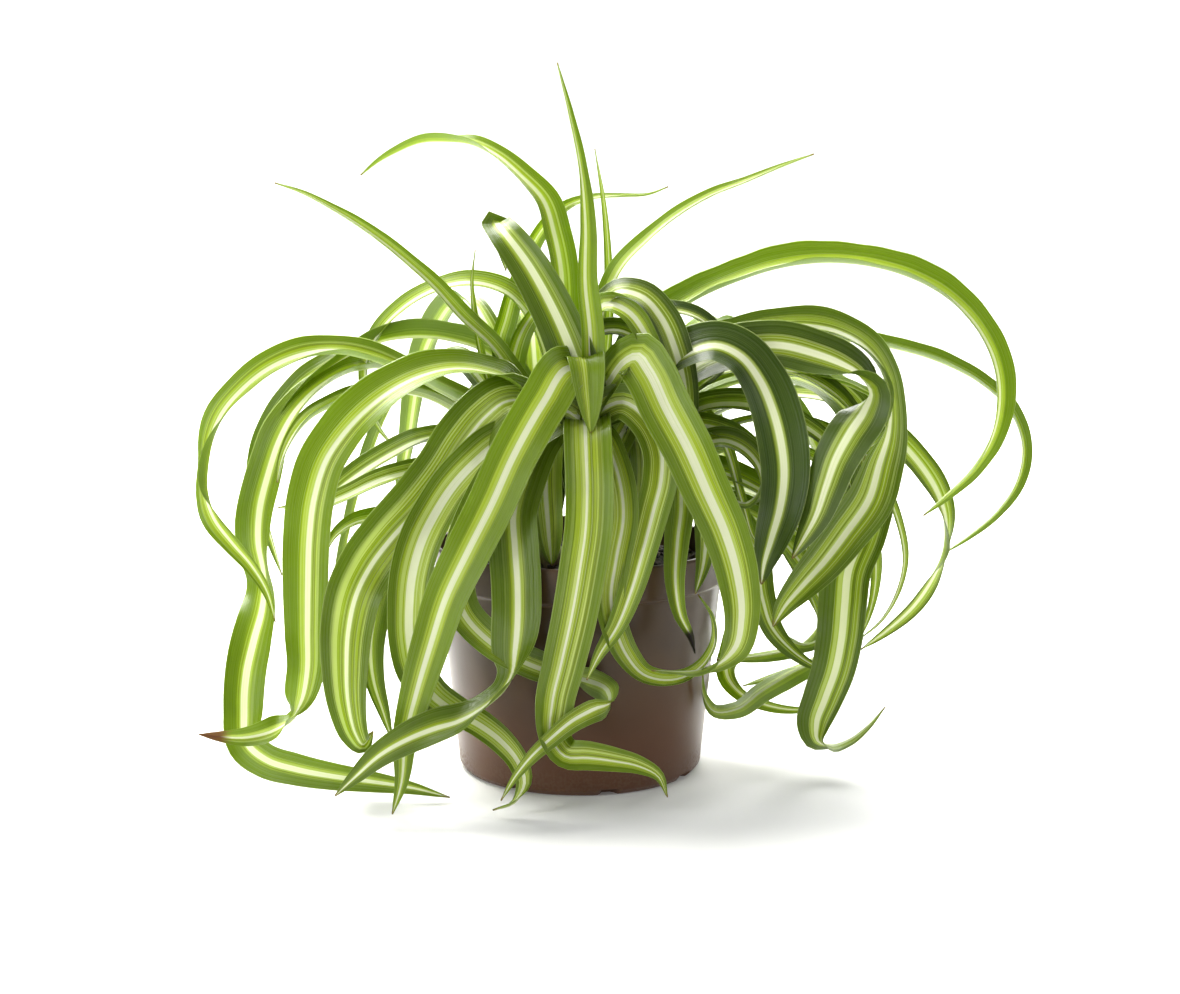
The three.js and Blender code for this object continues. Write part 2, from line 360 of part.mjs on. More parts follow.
// Half the blade's width at a part of its length: narrow foot, full middle, long point
function halfWidth(width, taper, part) {
  const foot = 0.24 + 0.76 * ease(part / 0.32);
  const point = Math.max(0, 1 - part ** taper) ** 0.8;
  return Math.max(0.5, 0.5 * width * foot * point);
}

// How steeply each half rises from the midrib: a folded sheath at the foot, then open
const foldAt = (fold, part) => radians(fold + 20 * (1 - ease(part / 0.3)));

// Which way the blade's upper side faces: towards the eye, turned by its face angle
function facing(point, along, face) {
  const eye = new THREE.Vector3(0, -EYE_DISTANCE, EYE_HEIGHT).sub(point);
  eye.addScaledVector(along, -eye.dot(along)).normalize();
  const side = new THREE.Vector3().crossVectors(along, eye);
  return eye.multiplyScalar(Math.cos(radians(face))).addScaledVector(side, Math.sin(radians(face)));
}

// The arching leaves of the rule: the upper side stays square to one level side line
function arching(heading) {
  const level = new THREE.Vector3(Math.sin(radians(heading)), -Math.cos(radians(heading)), 0);
  return (point, along, lean) => {
    const side = level.clone().applyAxisAngle(along, radians(lean));
    return side.addScaledVector(along, -side.dot(along)).cross(along).normalize();
  };
}

// One closed blade: a folded strip with an upper and an under face and two thin edges
function bladeSolid(points, { width, taper, fold, normalAt }) {
  const curve = smoothCurve(points);
  const parts = stations(curve, width);
  const ribs = parts.map((part) => {
    const here = curve(part);
    const point = new THREE.Vector3(here[0], here[1], here[2]);
    const before = curve(Math.max(0, part - 0.004));
    const after = curve(Math.min(1, part + 0.004));
    const along = new THREE.Vector3(after[0] - before[0], after[1] - before[1], after[2] - before[2]);
    along.normalize();
    const up = normalAt(point, along, here[3]);
    const side = new THREE.Vector3().crossVectors(up, along);
    const half = halfWidth(width, taper, part);
    const angle = foldAt(fold, part);
    const upper = [-1, 0, 1].map((s) => point.clone()
      .addScaledVector(side, s * half * Math.cos(angle))
      .addScaledVector(up, Math.abs(s) * half * Math.sin(angle)));
    const under = upper.map((p) => p.clone().addScaledVector(up, -BLADE_THICKNESS));
    return [...upper, ...under];
  });
  const vertices = ribs.flat().flatMap((p) => [p.x, p.y, p.z]);
  const triangles = [];
  const quad = (a, b, c, d) => triangles.push(a, c, b, a, d, c);
  for (let i = 0; i < ribs.length - 1; i += 1) {
    const [a, b] = [6 * i, 6 * i + 6];
    for (const k of [0, 1]) {
      quad(a + k, a + k + 1, b + k + 1, b + k);
      quad(a + k + 3, b + k + 3, b + k + 4, a + k + 4);
    }
    quad(a, b, b + 3, a + 3);
    quad(a + 2, a + 5, b + 5, b + 2);
  }
  const last = 6 * (ribs.length - 1);
  for (const k of [0, 1]) {
    quad(k, k + 3, k + 4, k + 1);
    quad(last + k, last + k + 1, last + k + 4, last + k + 3);
  }
  return new wasm.Manifold(new wasm.Mesh({
    numProp: 3,
    vertProperties: new Float32Array(vertices),
    triVerts: new Uint32Array(triangles),
  }));
}

function solidOf(geometry) {
  const bare = geometry.clone();
  bare.deleteAttribute('normal');
  bare.deleteAttribute('uv');
  const merged = mergeVertices(bare, 1e-4);
  return new wasm.Manifold(new wasm.Mesh({
    numProp: 3,
    vertProperties: new Float32Array(merged.attributes.position.array),
    triVerts: new Uint32Array(merged.index.array),
  }));
}

// A round solid about the Z axis from (radius, height) points that start and end on the axis
function turned(profile, sides = 44) {
  const lathe = new THREE.LatheGeometry(profile.map(([r, z]) => new THREE.Vector2(r, z)), sides);
  lathe.rotateX(Math.PI / 2);
  return solidOf(lathe);
}

function stockSolid({ x, y, foot, top, wide, narrow }) {
  const rod = turned([
    [0, foot],
    [wide - 1, foot],
    [wide, foot + 1],
    [wide, SOIL_LEVEL + 3],
    [narrow, top - 2],
    [0, top],
  ], 12);
  return rod.translate([x, y, 0]);
}

// Pot
function potSolid() {
  const collarFoot = POT_HEIGHT - COLLAR_HEIGHT;
  const shoulder = RIM_RADIUS - COLLAR_STEP;
  let pot = turned([
    [0, 0],
    [FOOT_RADIUS, 0],
    [BASE_RADIUS, 2.4],
    [shoulder, collarFoot],
    [RIM_RADIUS, collarFoot + 1],
    [RIM_RADIUS + 0.3, POT_HEIGHT - 0.8],
    [RIM_RADIUS - 0.4, POT_HEIGHT],
    [RIM_RADIUS - WALL, POT_HEIGHT],
    [RIM_RADIUS - WALL - 0.3, collarFoot + 2],
    [shoulder - WALL, collarFoot],
    [BASE_RADIUS - WALL, FLOOR],
    [0, FLOOR],
  ], 44);
  for (let i = 0; i < NOTCH.count; i += 1) {
    const box = new THREE.BoxGeometry(NOTCH.depth * 2, NOTCH.width, NOTCH.height * 2);
    box.translate(FOOT_RADIUS, 0, 0);
    box.rotateZ((i + 0.3) / NOTCH.count * 2 * Math.PI);
    pot = pot.subtract(solidOf(box));
  }
  return pot;
}

// Soil, with a plain hole for the stock of each rosette
function soilSolid() {
  const shoulder = RIM_RADIUS - COLLAR_STEP - WALL;
  const inner = (z) => {
    const low = BASE_RADIUS - WALL;
    const part = (z - FLOOR) / (POT_HEIGHT - COLLAR_HEIGHT - FLOOR);
    return low + (shoulder - low) * part - GAP - 0.15;
  };
  const collarFoot = POT_HEIGHT - COLLAR_HEIGHT;
  let soil = turned([
    [0, FLOOR + GAP],
    [inner(FLOOR + GAP), FLOOR + GAP],
    [inner(collarFoot - 1), collarFoot - 1],
    [shoulder - GAP, SOIL_LEVEL - 2.5],
    [shoulder - 2.5, SOIL_LEVEL - 1],
    [0, SOIL_LEVEL + 0.6],
  ], 44);
  for (const { x, y, foot, wide } of Object.values(STOCKS)) {
    const hole = new THREE.CylinderGeometry(wide + GAP + 0.15, wide + GAP + 0.15, 60, 24);
    hole.rotateX(Math.PI / 2);
    hole.translate(x, y, foot - GAP + 30);
    soil = soil.subtract(solidOf(hole));
  }
  return soil;
}

// The outer skin alone, which fills any small hollow that crossing leaves close off
function outerShell(solid) {
  const shells = solid.decompose();
  return shells.reduce((best, shell) => (shell.volume() > best.volume() ? shell : best));
}

// Rosettes
function traced(rosette, rows) {
  return rows.map(([name, width, taper, fold, points]) => {
    return bladeSolid(midrib(rosette, points), { width, taper, fold, normalAt: facing });
  });
}

function archedBack(rosette) {
  const stock = STOCKS[rosette];
  return BACK_LEAVES.filter(([where]) => where === rosette).map((leaf, i) => {
    const [, heading, reach, rise, drop, width] = leaf;
    const shape = [
      [2, stock.foot + 16],
      [5, stock.top + 4],
      [0.22 * reach, stock.top + 0.72 * rise],
      [0.45 * reach, stock.top + rise],
      [0.68 * reach, stock.top + 0.78 * rise],
      [0.86 * reach, stock.top + 0.25 * rise],
      [0.96 * reach, stock.top - 0.45 * drop],
      [reach, stock.top - drop],
    ];
    const swing = (i % 2 ? 7 : -7);
    const points = shape.map(([out, up], k) => {
      const turn = radians(heading + swing * (k / 7) ** 2);
      return [stock.x + out * Math.cos(turn), stock.y + out * Math.sin(turn), up, 14 * (i % 3 - 1)];
    });
    const normalAt = arching(heading);
    return bladeSolid(points, { width, taper: 4, fold: 20, normalAt });
  });
}

function rosetteSolid(rosette, rows) {
  const blades = [...traced(rosette, rows), ...archedBack(rosette)];
  const fused = blades.reduce((whole, blade) => whole.add(blade), stockSolid(STOCKS[rosette]));
  return outerShell(fused);
}

// Nodes
function meshOf(name, solid, look) {
  const { vertProperties, triVerts } = solid.getMesh();
  const geometry = new THREE.BufferGeometry();
  geometry.setAttribute('position', new THREE.BufferAttribute(new Float32Array(vertProperties), 3));
  geometry.setIndex(new THREE.BufferAttribute(new Uint32Array(triVerts), 1));
  geometry.computeVertexNormals();
  const mesh = new THREE.Mesh(geometry, new THREE.MeshStandardMaterial(look));
  mesh.name = name;
  return mesh;
}

const plastic = { color: 0x4b3a2e, roughness: 0.42, metalness: 0 };
const peat = { color: 0x2c2119, roughness: 0.95, metalness: 0 };
const leafGreen = { color: 0x7f9f3c, roughness: 0.5, metalness: 0 };

const plant = new THREE.Group();
plant.name = 'potted_spider_plant';
plant.add(meshOf('pot', potSolid(), plastic));
plant.add(meshOf('soil', soilSolid(), peat));
plant.add(meshOf('rosette_front', rosetteSolid('front', FRONT_LEAVES), leafGreen));
plant.add(meshOf('rosette_left', rosetteSolid('left', LEFT_LEAVES), leafGreen));
plant.add(meshOf('rosette_right', rosetteSolid('right', RIGHT_LEAVES), leafGreen));

export default plant;
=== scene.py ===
# %% [markdown]
# # Potted spider plant
# Three rosettes of long striped leaves stand in a small brown pot. This lesson loads the plant's
# CAD frame, keeps its sizes, and dresses it in fine surfaces: each leaf is one folded ribbon worked
# out with numpy, and its cream stripe, green margins and fine veins are a procedural material.

# %% Load the frame
import math

import bpy
import numpy as np
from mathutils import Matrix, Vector


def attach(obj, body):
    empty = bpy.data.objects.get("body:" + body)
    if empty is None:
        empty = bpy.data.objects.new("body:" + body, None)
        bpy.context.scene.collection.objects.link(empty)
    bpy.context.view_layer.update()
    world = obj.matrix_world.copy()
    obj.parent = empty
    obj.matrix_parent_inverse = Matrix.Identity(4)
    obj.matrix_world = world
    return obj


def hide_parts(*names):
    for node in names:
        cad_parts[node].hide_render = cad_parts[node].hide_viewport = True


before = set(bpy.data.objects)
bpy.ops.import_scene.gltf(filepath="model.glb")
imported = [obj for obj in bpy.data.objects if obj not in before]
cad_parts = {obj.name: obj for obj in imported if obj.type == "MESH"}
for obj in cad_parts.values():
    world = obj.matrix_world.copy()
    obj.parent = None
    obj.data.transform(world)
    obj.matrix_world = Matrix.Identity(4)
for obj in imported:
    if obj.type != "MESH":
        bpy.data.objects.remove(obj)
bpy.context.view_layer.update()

# %% [markdown]
# ## Camera
# The photograph looks slightly down on the pot from about 0.9 m away. The eye's place comes first,
# because the leaves are later laid out from it: each point in their tables lies on its own line of
# sight.

# %% Camera at the photograph's angle
EYE = np.array([0.0, -885.0, 265.0])  # millimetres
LOOK_DOWN = 9.75  # degrees
camera_data = bpy.data.cameras.new("camera")
camera_data.lens = 66.33
camera_data.sensor_width = 36
camera_data.shift_x = 0.00847
camera = bpy.data.objects.new("camera", camera_data)
camera.location = EYE / 1000
camera.rotation_euler = (math.radians(90 - LOOK_DOWN), 0, 0)
bpy.context.collection.objects.link(camera)
bpy.context.scene.camera = camera
bpy.context.scene.view_settings.view_transform = "Standard"  # plain sRGB, as the photograph is
print("camera at", tuple(camera.location), "lens", camera_data.lens, "mm")

# %% [markdown]
# ## Building blocks
# Nearly every new surface is a grid of points: rows along the piece, columns around it. One helper
# turns points and faces into a mesh, one closes a grid to a tube, and one says what a piece stands
# for. A mesh can carry a UV map, so that a pattern can follow the surface.

# %% From a grid of points to a mesh
def grid_faces(rows, columns, closed):
    """Four-cornered faces between neighbours; closed joins the last column to the first."""
    wide = columns if closed else columns - 1
    r, c = np.meshgrid(np.arange(rows - 1), np.arange(wide), indexing="ij")
    after = (c + 1) % columns
    corners = [r * columns + c, r * columns + after, (r + 1) * columns + after, (r + 1) * columns + c]
    return np.stack(corners, -1).reshape(-1, 4)


def make_piece(name, points, faces, material, caps=(), uv=None, values=None):
    """A smooth mesh object from points in millimetres, with a UV map and values at its points."""
    mesh = bpy.data.meshes.new(name)
    mesh.from_pydata((points / 1000).tolist(), [], faces.tolist() + [list(cap) for cap in caps])
    if uv is not None:
        corner = np.zeros(len(mesh.loops), dtype=np.int32)
        mesh.loops.foreach_get("vertex_index", corner)
        layer = mesh.uv_layers.new(name="blade")
        layer.data.foreach_set("uv", uv.astype(np.float32)[corner].ravel())
    for key, value in (values or {}).items():
        attribute = mesh.attributes.new(key, "FLOAT", "POINT")
        attribute.data.foreach_set("value", np.full(len(points), value, dtype=np.float32))
    mesh.shade_smooth()
    mesh.materials.append(material)
    piece = bpy.data.objects.new(name, mesh)
    bpy.context.collection.objects.link(piece)
    return piece


def tube_piece(name, grid, material, uv=None, values=None):
    """A piece from a grid of closed rings, with a face over the first ring and over the last."""
    rows, columns = grid.shape[:2]
    last = (rows - 1) * columns
    caps = [range(columns - 1, -1, -1), range(last, last + columns)]
    faces = grid_faces(rows, columns, True)
    return make_piece(name, grid.reshape(-1, 3), faces, material, caps, uv, values)


def stands_for(piece, node):
    """The piece rides on the one body and replaces a CAD node."""
    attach(piece, "root")
    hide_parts(node)
    return piece


def ease(x):
    """Rises from 0 to 1 with a level start and end: three squares less two cubes."""
    t = np.clip(x, 0, 1)
    return t * t * (3 - 2 * t)


def unit(v):
    """Each row divided by its own length."""
    return v / np.linalg.norm(v, axis=-1, keepdims=True)


def steps_of(points):
    """Lengths of the straight steps between neighbouring points."""
    return np.linalg.norm(np.diff(points[:, :3], axis=0), axis=1)


def full_turn(count):
    """Even angles once round, in radians."""
    return np.linspace(0, 2 * np.pi, count, endpoint=False)


def waves(places, seed, longest):
    """Gentle unevenness about 0: 24 cosine waves in seeded directions, each shorter and lower."""
    rng = np.random.default_rng(seed)
    total = np.zeros(len(places))
    weight = 0.0
    for i in range(24):
        size = longest * 0.88 ** i
        direction = rng.normal(size=places.shape[1])
        direction *= 2 * np.pi / size / np.linalg.norm(direction)
        strength = size / longest
        total += strength * np.cos(places @ direction + rng.uniform(0, 2 * np.pi))
        weight += strength ** 2
    return total / (2 * math.sqrt(weight / 2))


print("shape helpers ready")

# %% [markdown]
# Materials are made of nodes. With these helpers a formula can be written as nested calls. Each new
# node goes into the tree that its first input comes from.

# %% Node helpers
def put(node, inputs):
    """Feeds a node: a socket is linked to the named input, anything else becomes its value."""
    for key, value in inputs.items():
        if isinstance(value, bpy.types.NodeSocket):
            node.id_data.links.new(value, node.inputs[key])
        else:
            node.inputs[key].default_value = value


def add(tree, kind, inputs=None, **settings):
    """A new node with its settings and inputs."""
    node = tree.nodes.new(kind)
    for key, value in settings.items():
        setattr(node, key, value)
    put(node, inputs or {})
    return node


def maths(operation, *values):
    """One Math node's result; its first value is a socket."""
    inputs = dict(enumerate(values))
    return add(values[0].id_data, "ShaderNodeMath", inputs, operation=operation).outputs[0]


def times(a, b):
    """a * b."""
    return maths("MULTIPLY", a, b)


def line(x, slope, base):
    """slope * x + base."""
    return maths("MULTIPLY_ADD", x, slope, base)


def varied(base, mask, swing):
    """base + swing * (mask - 0.5)."""
    return line(maths("SUBTRACT", mask, 0.5), swing, base)


def step_between(value, low, high):
    """0 below low, 1 above high, smooth between; low above high turns it round."""
    inputs = {"Value": value, "From Min": low, "From Max": high}
    node = add(value.id_data, "ShaderNodeMapRange", inputs, interpolation_type="SMOOTHSTEP")
    return node.outputs["Result"]


def blend(share, a, b):
    """Colour a with a share of colour b."""
    return add(share.id_data, "ShaderNodeMix", {0: share, 6: a, 7: b}, data_type="RGBA").outputs[2]


def noise(place, scale, detail=2.0, rough=0.5):
    """Perlin noise about 0.5."""
    inputs = {"Vector": place, "Scale": scale, "Detail": detail, "Roughness": rough}
    return add(place.id_data, "ShaderNodeTexNoise", inputs).outputs["Fac"]


def stretched(place, scales):
    """The place with each axis scaled by itself."""
    inputs = {0: place, 1: scales}
    return add(place.id_data, "ShaderNodeVectorMath", inputs, operation="MULTIPLY").outputs[0]


def split(place):
    """The place's X, Y and Z."""
    return add(place.id_data, "ShaderNodeSeparateXYZ", {"Vector": place}).outputs


def bump(height, strength, distance):
    """The surface direction for a relief of a mask, the distance in metres."""
    inputs = {"Height": height, "Strength": strength, "Distance": distance}
    return add(height.id_data, "ShaderNodeBump", inputs).outputs["Normal"]


def glow(tree, on_things, in_view):
    """How strongly something shines: one value for what it lights, one for the camera."""
    seen = add(tree, "ShaderNodeLightPath").outputs["Is Camera Ray"]
    inputs = {"Value": seen, "To Min": on_things, "To Max": in_view}
    return add(tree, "ShaderNodeMapRange", inputs).outputs["Result"]


def on_object(tree):
    """The place on the object, in metres."""
    return add(tree, "ShaderNodeTexCoord").outputs["Object"]


def new_material(name):
    """A material, its node tree and its main shader."""
    material = bpy.data.materials.new(name)
    material.use_nodes = True
    return material, material.node_tree, material.node_tree.nodes["Principled BSDF"]


print("node helpers ready")

# %% [markdown]
# ## Floor and light
# The plant was shot on a white table against white. One white sheet is floor and backdrop together,
# curved where they meet, so that no horizon shows. It gives off a little light of its own, less of it
# towards the camera, so that the shade of the pot still shows on it.

# %% White sweep
SWEEP_ROWS, SWEEP_COLUMNS = 60, 9


def sweep(back=1400, bend=500, high=2600, front=-3600, wide=3600):
    """Across is even. Along: level from front to back, a quarter circle of radius bend, then upright."""
    turn = np.linspace(0, np.pi / 2, SWEEP_ROWS - 2)
    y = np.concatenate([[front], back + bend * np.sin(turn), [back + bend]])
    z = np.concatenate([[0], bend - bend * np.cos(turn), [high]])
    across, y = np.meshgrid(np.linspace(-wide, wide, SWEEP_COLUMNS), y)
    z = np.repeat(z[:, None], SWEEP_COLUMNS, 1)
    return np.stack([across, y, z], -1).reshape(-1, 3)


white, tree, paper = new_material("studio_white")
put(paper, {"Base Color": (0.68, 0.68, 0.67, 1), "Roughness": 0.8, "Emission Color": (1, 1, 1, 1),
            "Emission Strength": glow(tree, 0.20, 0.06)})
studio = make_piece("studio_sweep", sweep(), grid_faces(SWEEP_ROWS, SWEEP_COLUMNS, False), white)
print("sweep:", len(studio.data.polygons), "faces")

# %% [markdown]
# Light comes softly from above and behind, mostly from the viewer's left, so that it shines through
# the leaves. A weaker upright panel at the front left fills the shade and draws the pale band down
# the pot, and a faint one does the same at the right. The world adds an even, slightly cool glow.

# %% Soft panels and world
def panel(name, place, size, power, tint, target=(0, 0, 0.14)):
    """A rectangular soft light at a place in metres that faces the target."""
    data = bpy.data.lights.new(name, "AREA")
    data.shape = "RECTANGLE"
    data.size, data.size_y = size
    data.energy = power
    data.color = tint
    light = bpy.data.objects.new(name, data)
    light.location = place
    light.rotation_euler = (light.location - Vector(target)).to_track_quat("Z", "Y").to_euler()
    light.visible_camera = False
    bpy.context.collection.objects.link(light)


panel("key_panel", (-0.60, 0.62, 1.30), (0.8, 0.8), 76, (1.0, 0.99, 0.95))
panel("back_panel", (0.25, 1.25, 1.05), (1.5, 0.8), 58, (1.0, 1.0, 0.98))
panel("front_fill", (-1.2, -1.0, 0.75), (0.5, 1.1), 16, (0.97, 0.99, 1.0))
panel("right_fill", (1.5, -0.4, 0.9), (0.6, 1.0), 5, (0.97, 0.99, 1.0))

world = bpy.data.worlds.new("pale_room")
world.use_nodes = True
tree = world.node_tree
put(tree.nodes["Background"], {"Color": (0.98, 0.99, 1.0, 1), "Strength": glow(tree, 0.48, 1.1)})
bpy.context.scene.world = world

# %% [markdown]
# ## Where every leaf runs
# A spider plant's leaves are all different, so they can't come from one rule. Each midrib is written
# down as a few points. An entry reads: name, width, how late the leaf starts to taper, how
# deeply it is folded along its midrib, then its points. A point reads: across from the pot's axis
# and height, both in the upright plane through that axis, depth away from the eye, and the angle by
# which the upper side turns from the eye. Everything is in millimetres and degrees. Commas stand
# between points and semicolons between leaves.

# %% Leaves that show, rosette by rosette
FRONT = """
tall 13.5 2.2 30: 4 160 -33 20, 4 180 -29 25, 2 200 -26 28, 2 225 -20 35, 0 248 -14 55, -4 268 -10 60,
-9 289 -6 60;
bent_back 20.5 3.5 16: 0 160 -32 10, -5 175 -29 10, -13 193 -23 12, -22 209 -17 12, -30 220 -10 16,
-34 225 0 20, -33.5 224.5 9 24, -31.5 216 16 28, -30 206 18 30;
left_strap 20 4.5 13: -0.5 158 -32 10, -2.5 166.5 -34.5 8, -5.5 166 -38 6, -14.5 153 -45.5 4,
-27.5 130 -53 4, -36.5 110 -58 5, -46.5 90 -63 5, -56 70 -66 5, -62.5 50 -69 5, -68.5 30 -71 6,
-73.5 10 -73 6, -75.5 -10 -75 10, -79.5 -23.5 -77 15;
right_strap 21.5 4.5 14: 7 152 -32 -10, 12.5 161 -31 -8, 18.5 169 -32 -5, 23 171 -34.5 -4,
27.5 165.5 -38.5 -4, 35 150 -46 -6, 44 133 -53 -8, 52 115 -58 -10, 60 97 -63 -12, 65 80 -66 -14,
67 62 -68 -18, 64.5 49 -69 -30, 58.5 42.5 -69 -70, 49 38.5 -72 -100, 39 38.2 -75 -90, 30 39 -77 -80;
middle_strap 19.5 4.5 16: 3 145 -36.4 5, 3 142 -45 3, 3.5 130 -56 0, 4 115 -63 0, 3.5 100 -66 0,
1 82 -67.5 0, -2.5 62 -68 -2, -7 42 -69 -4, -11 24 -71 -8, -11.5 10 -74 -30, -6 2.5 -77 -25, 3 2 -78 -10,
14 0.5 -78 -6, 25 -2 -78 -8, 33 -6.5 -78 -20, 37 -16 -78 -30;
keel 17 6 14: 1.5 158 -28 0, 1.8 167 -30 0, 2.2 171 -34.5 0, 3 167 -39.5 0, 3.7 158 -43.5 0,
4.2 149 -46.5 0, 4.5 139.5 -48.5 0;
right_curl 14 4 22: 8 138 -40 -15, 14 125 -50 -12, 17 105 -60 -12, 14 86 -63 -12, 12 70 -64 -12,
14 57 -65 -20, 19 45 -66 -30, 26 37 -68 -40, 35 34.5 -70 -45, 44 36 -70 -50, 52 42 -68 -60,
56.5 52 -64 -70, 55.5 62 -62 -80, 49 71.5 -60 -90;
thin_right 16 4 20: 8 148 -37 -20, 17 152 -38 -15, 27 145 -43 -8, 33 132 -47.5 -4, 33 120 -52 0,
30 107 -56.5 3, 26 91 -61 5, 21 73 -64.5 6, 15 57.5 -67 8, 8 46 -69 12, 2.8 35 -71 20;
dry_tip 15 3.6 24: 8 146 -35 -30, 20 150 -35 -20, 33 141 -38 -10, 40 126 -42.5 -4, 41.5 110 -47 0,
40 93 -52 0, 39.5 76 -57 0, 42 62 -60.5 -6, 46 54 -62 -12, 48 46.5 -63 -20;
left_twist 21 5 16: 0 146 -38 15, -7 150 -40 12, -16 139 -42 10, -24 121 -47 6, -28 106 -51 3,
-27.5 92 -56 0, -26.5 76 -61.5 0, -26.5 60 -65 5, -27.5 47 -67 35, -28.5 38 -69 66, -32 31.5 -71 78,
-37.5 26 -73 76, -43.5 21.5 -75 64, -51 17.5 -77 44, -61 14.5 -79 22, -72 10 -81 6, -84 3 -82 0,
-95 -7 -82 4, -103.7 -15.5 -82 15;
zigzag 15 4 16: -3 146 -40 25, -14 142 -44 22, -30 128 -46 20, -43 106 -53 20, -50 84 -56.5 18,
-48 65 -58 10, -38 53 -61 0, -25 44.5 -63.5 -5, -10 38.5 -63.5 -20, 3 34.5 -62.5 -150, 11 30.5 -65 -170,
13 25.5 -69.5 -95, 6 22 -72.5 -10, -3 17 -74.5 0, -12 9.5 -77 0, -20 2 -79 0, -26.5 -6 -80 5,
-33.5 -17.5 -80 10
"""
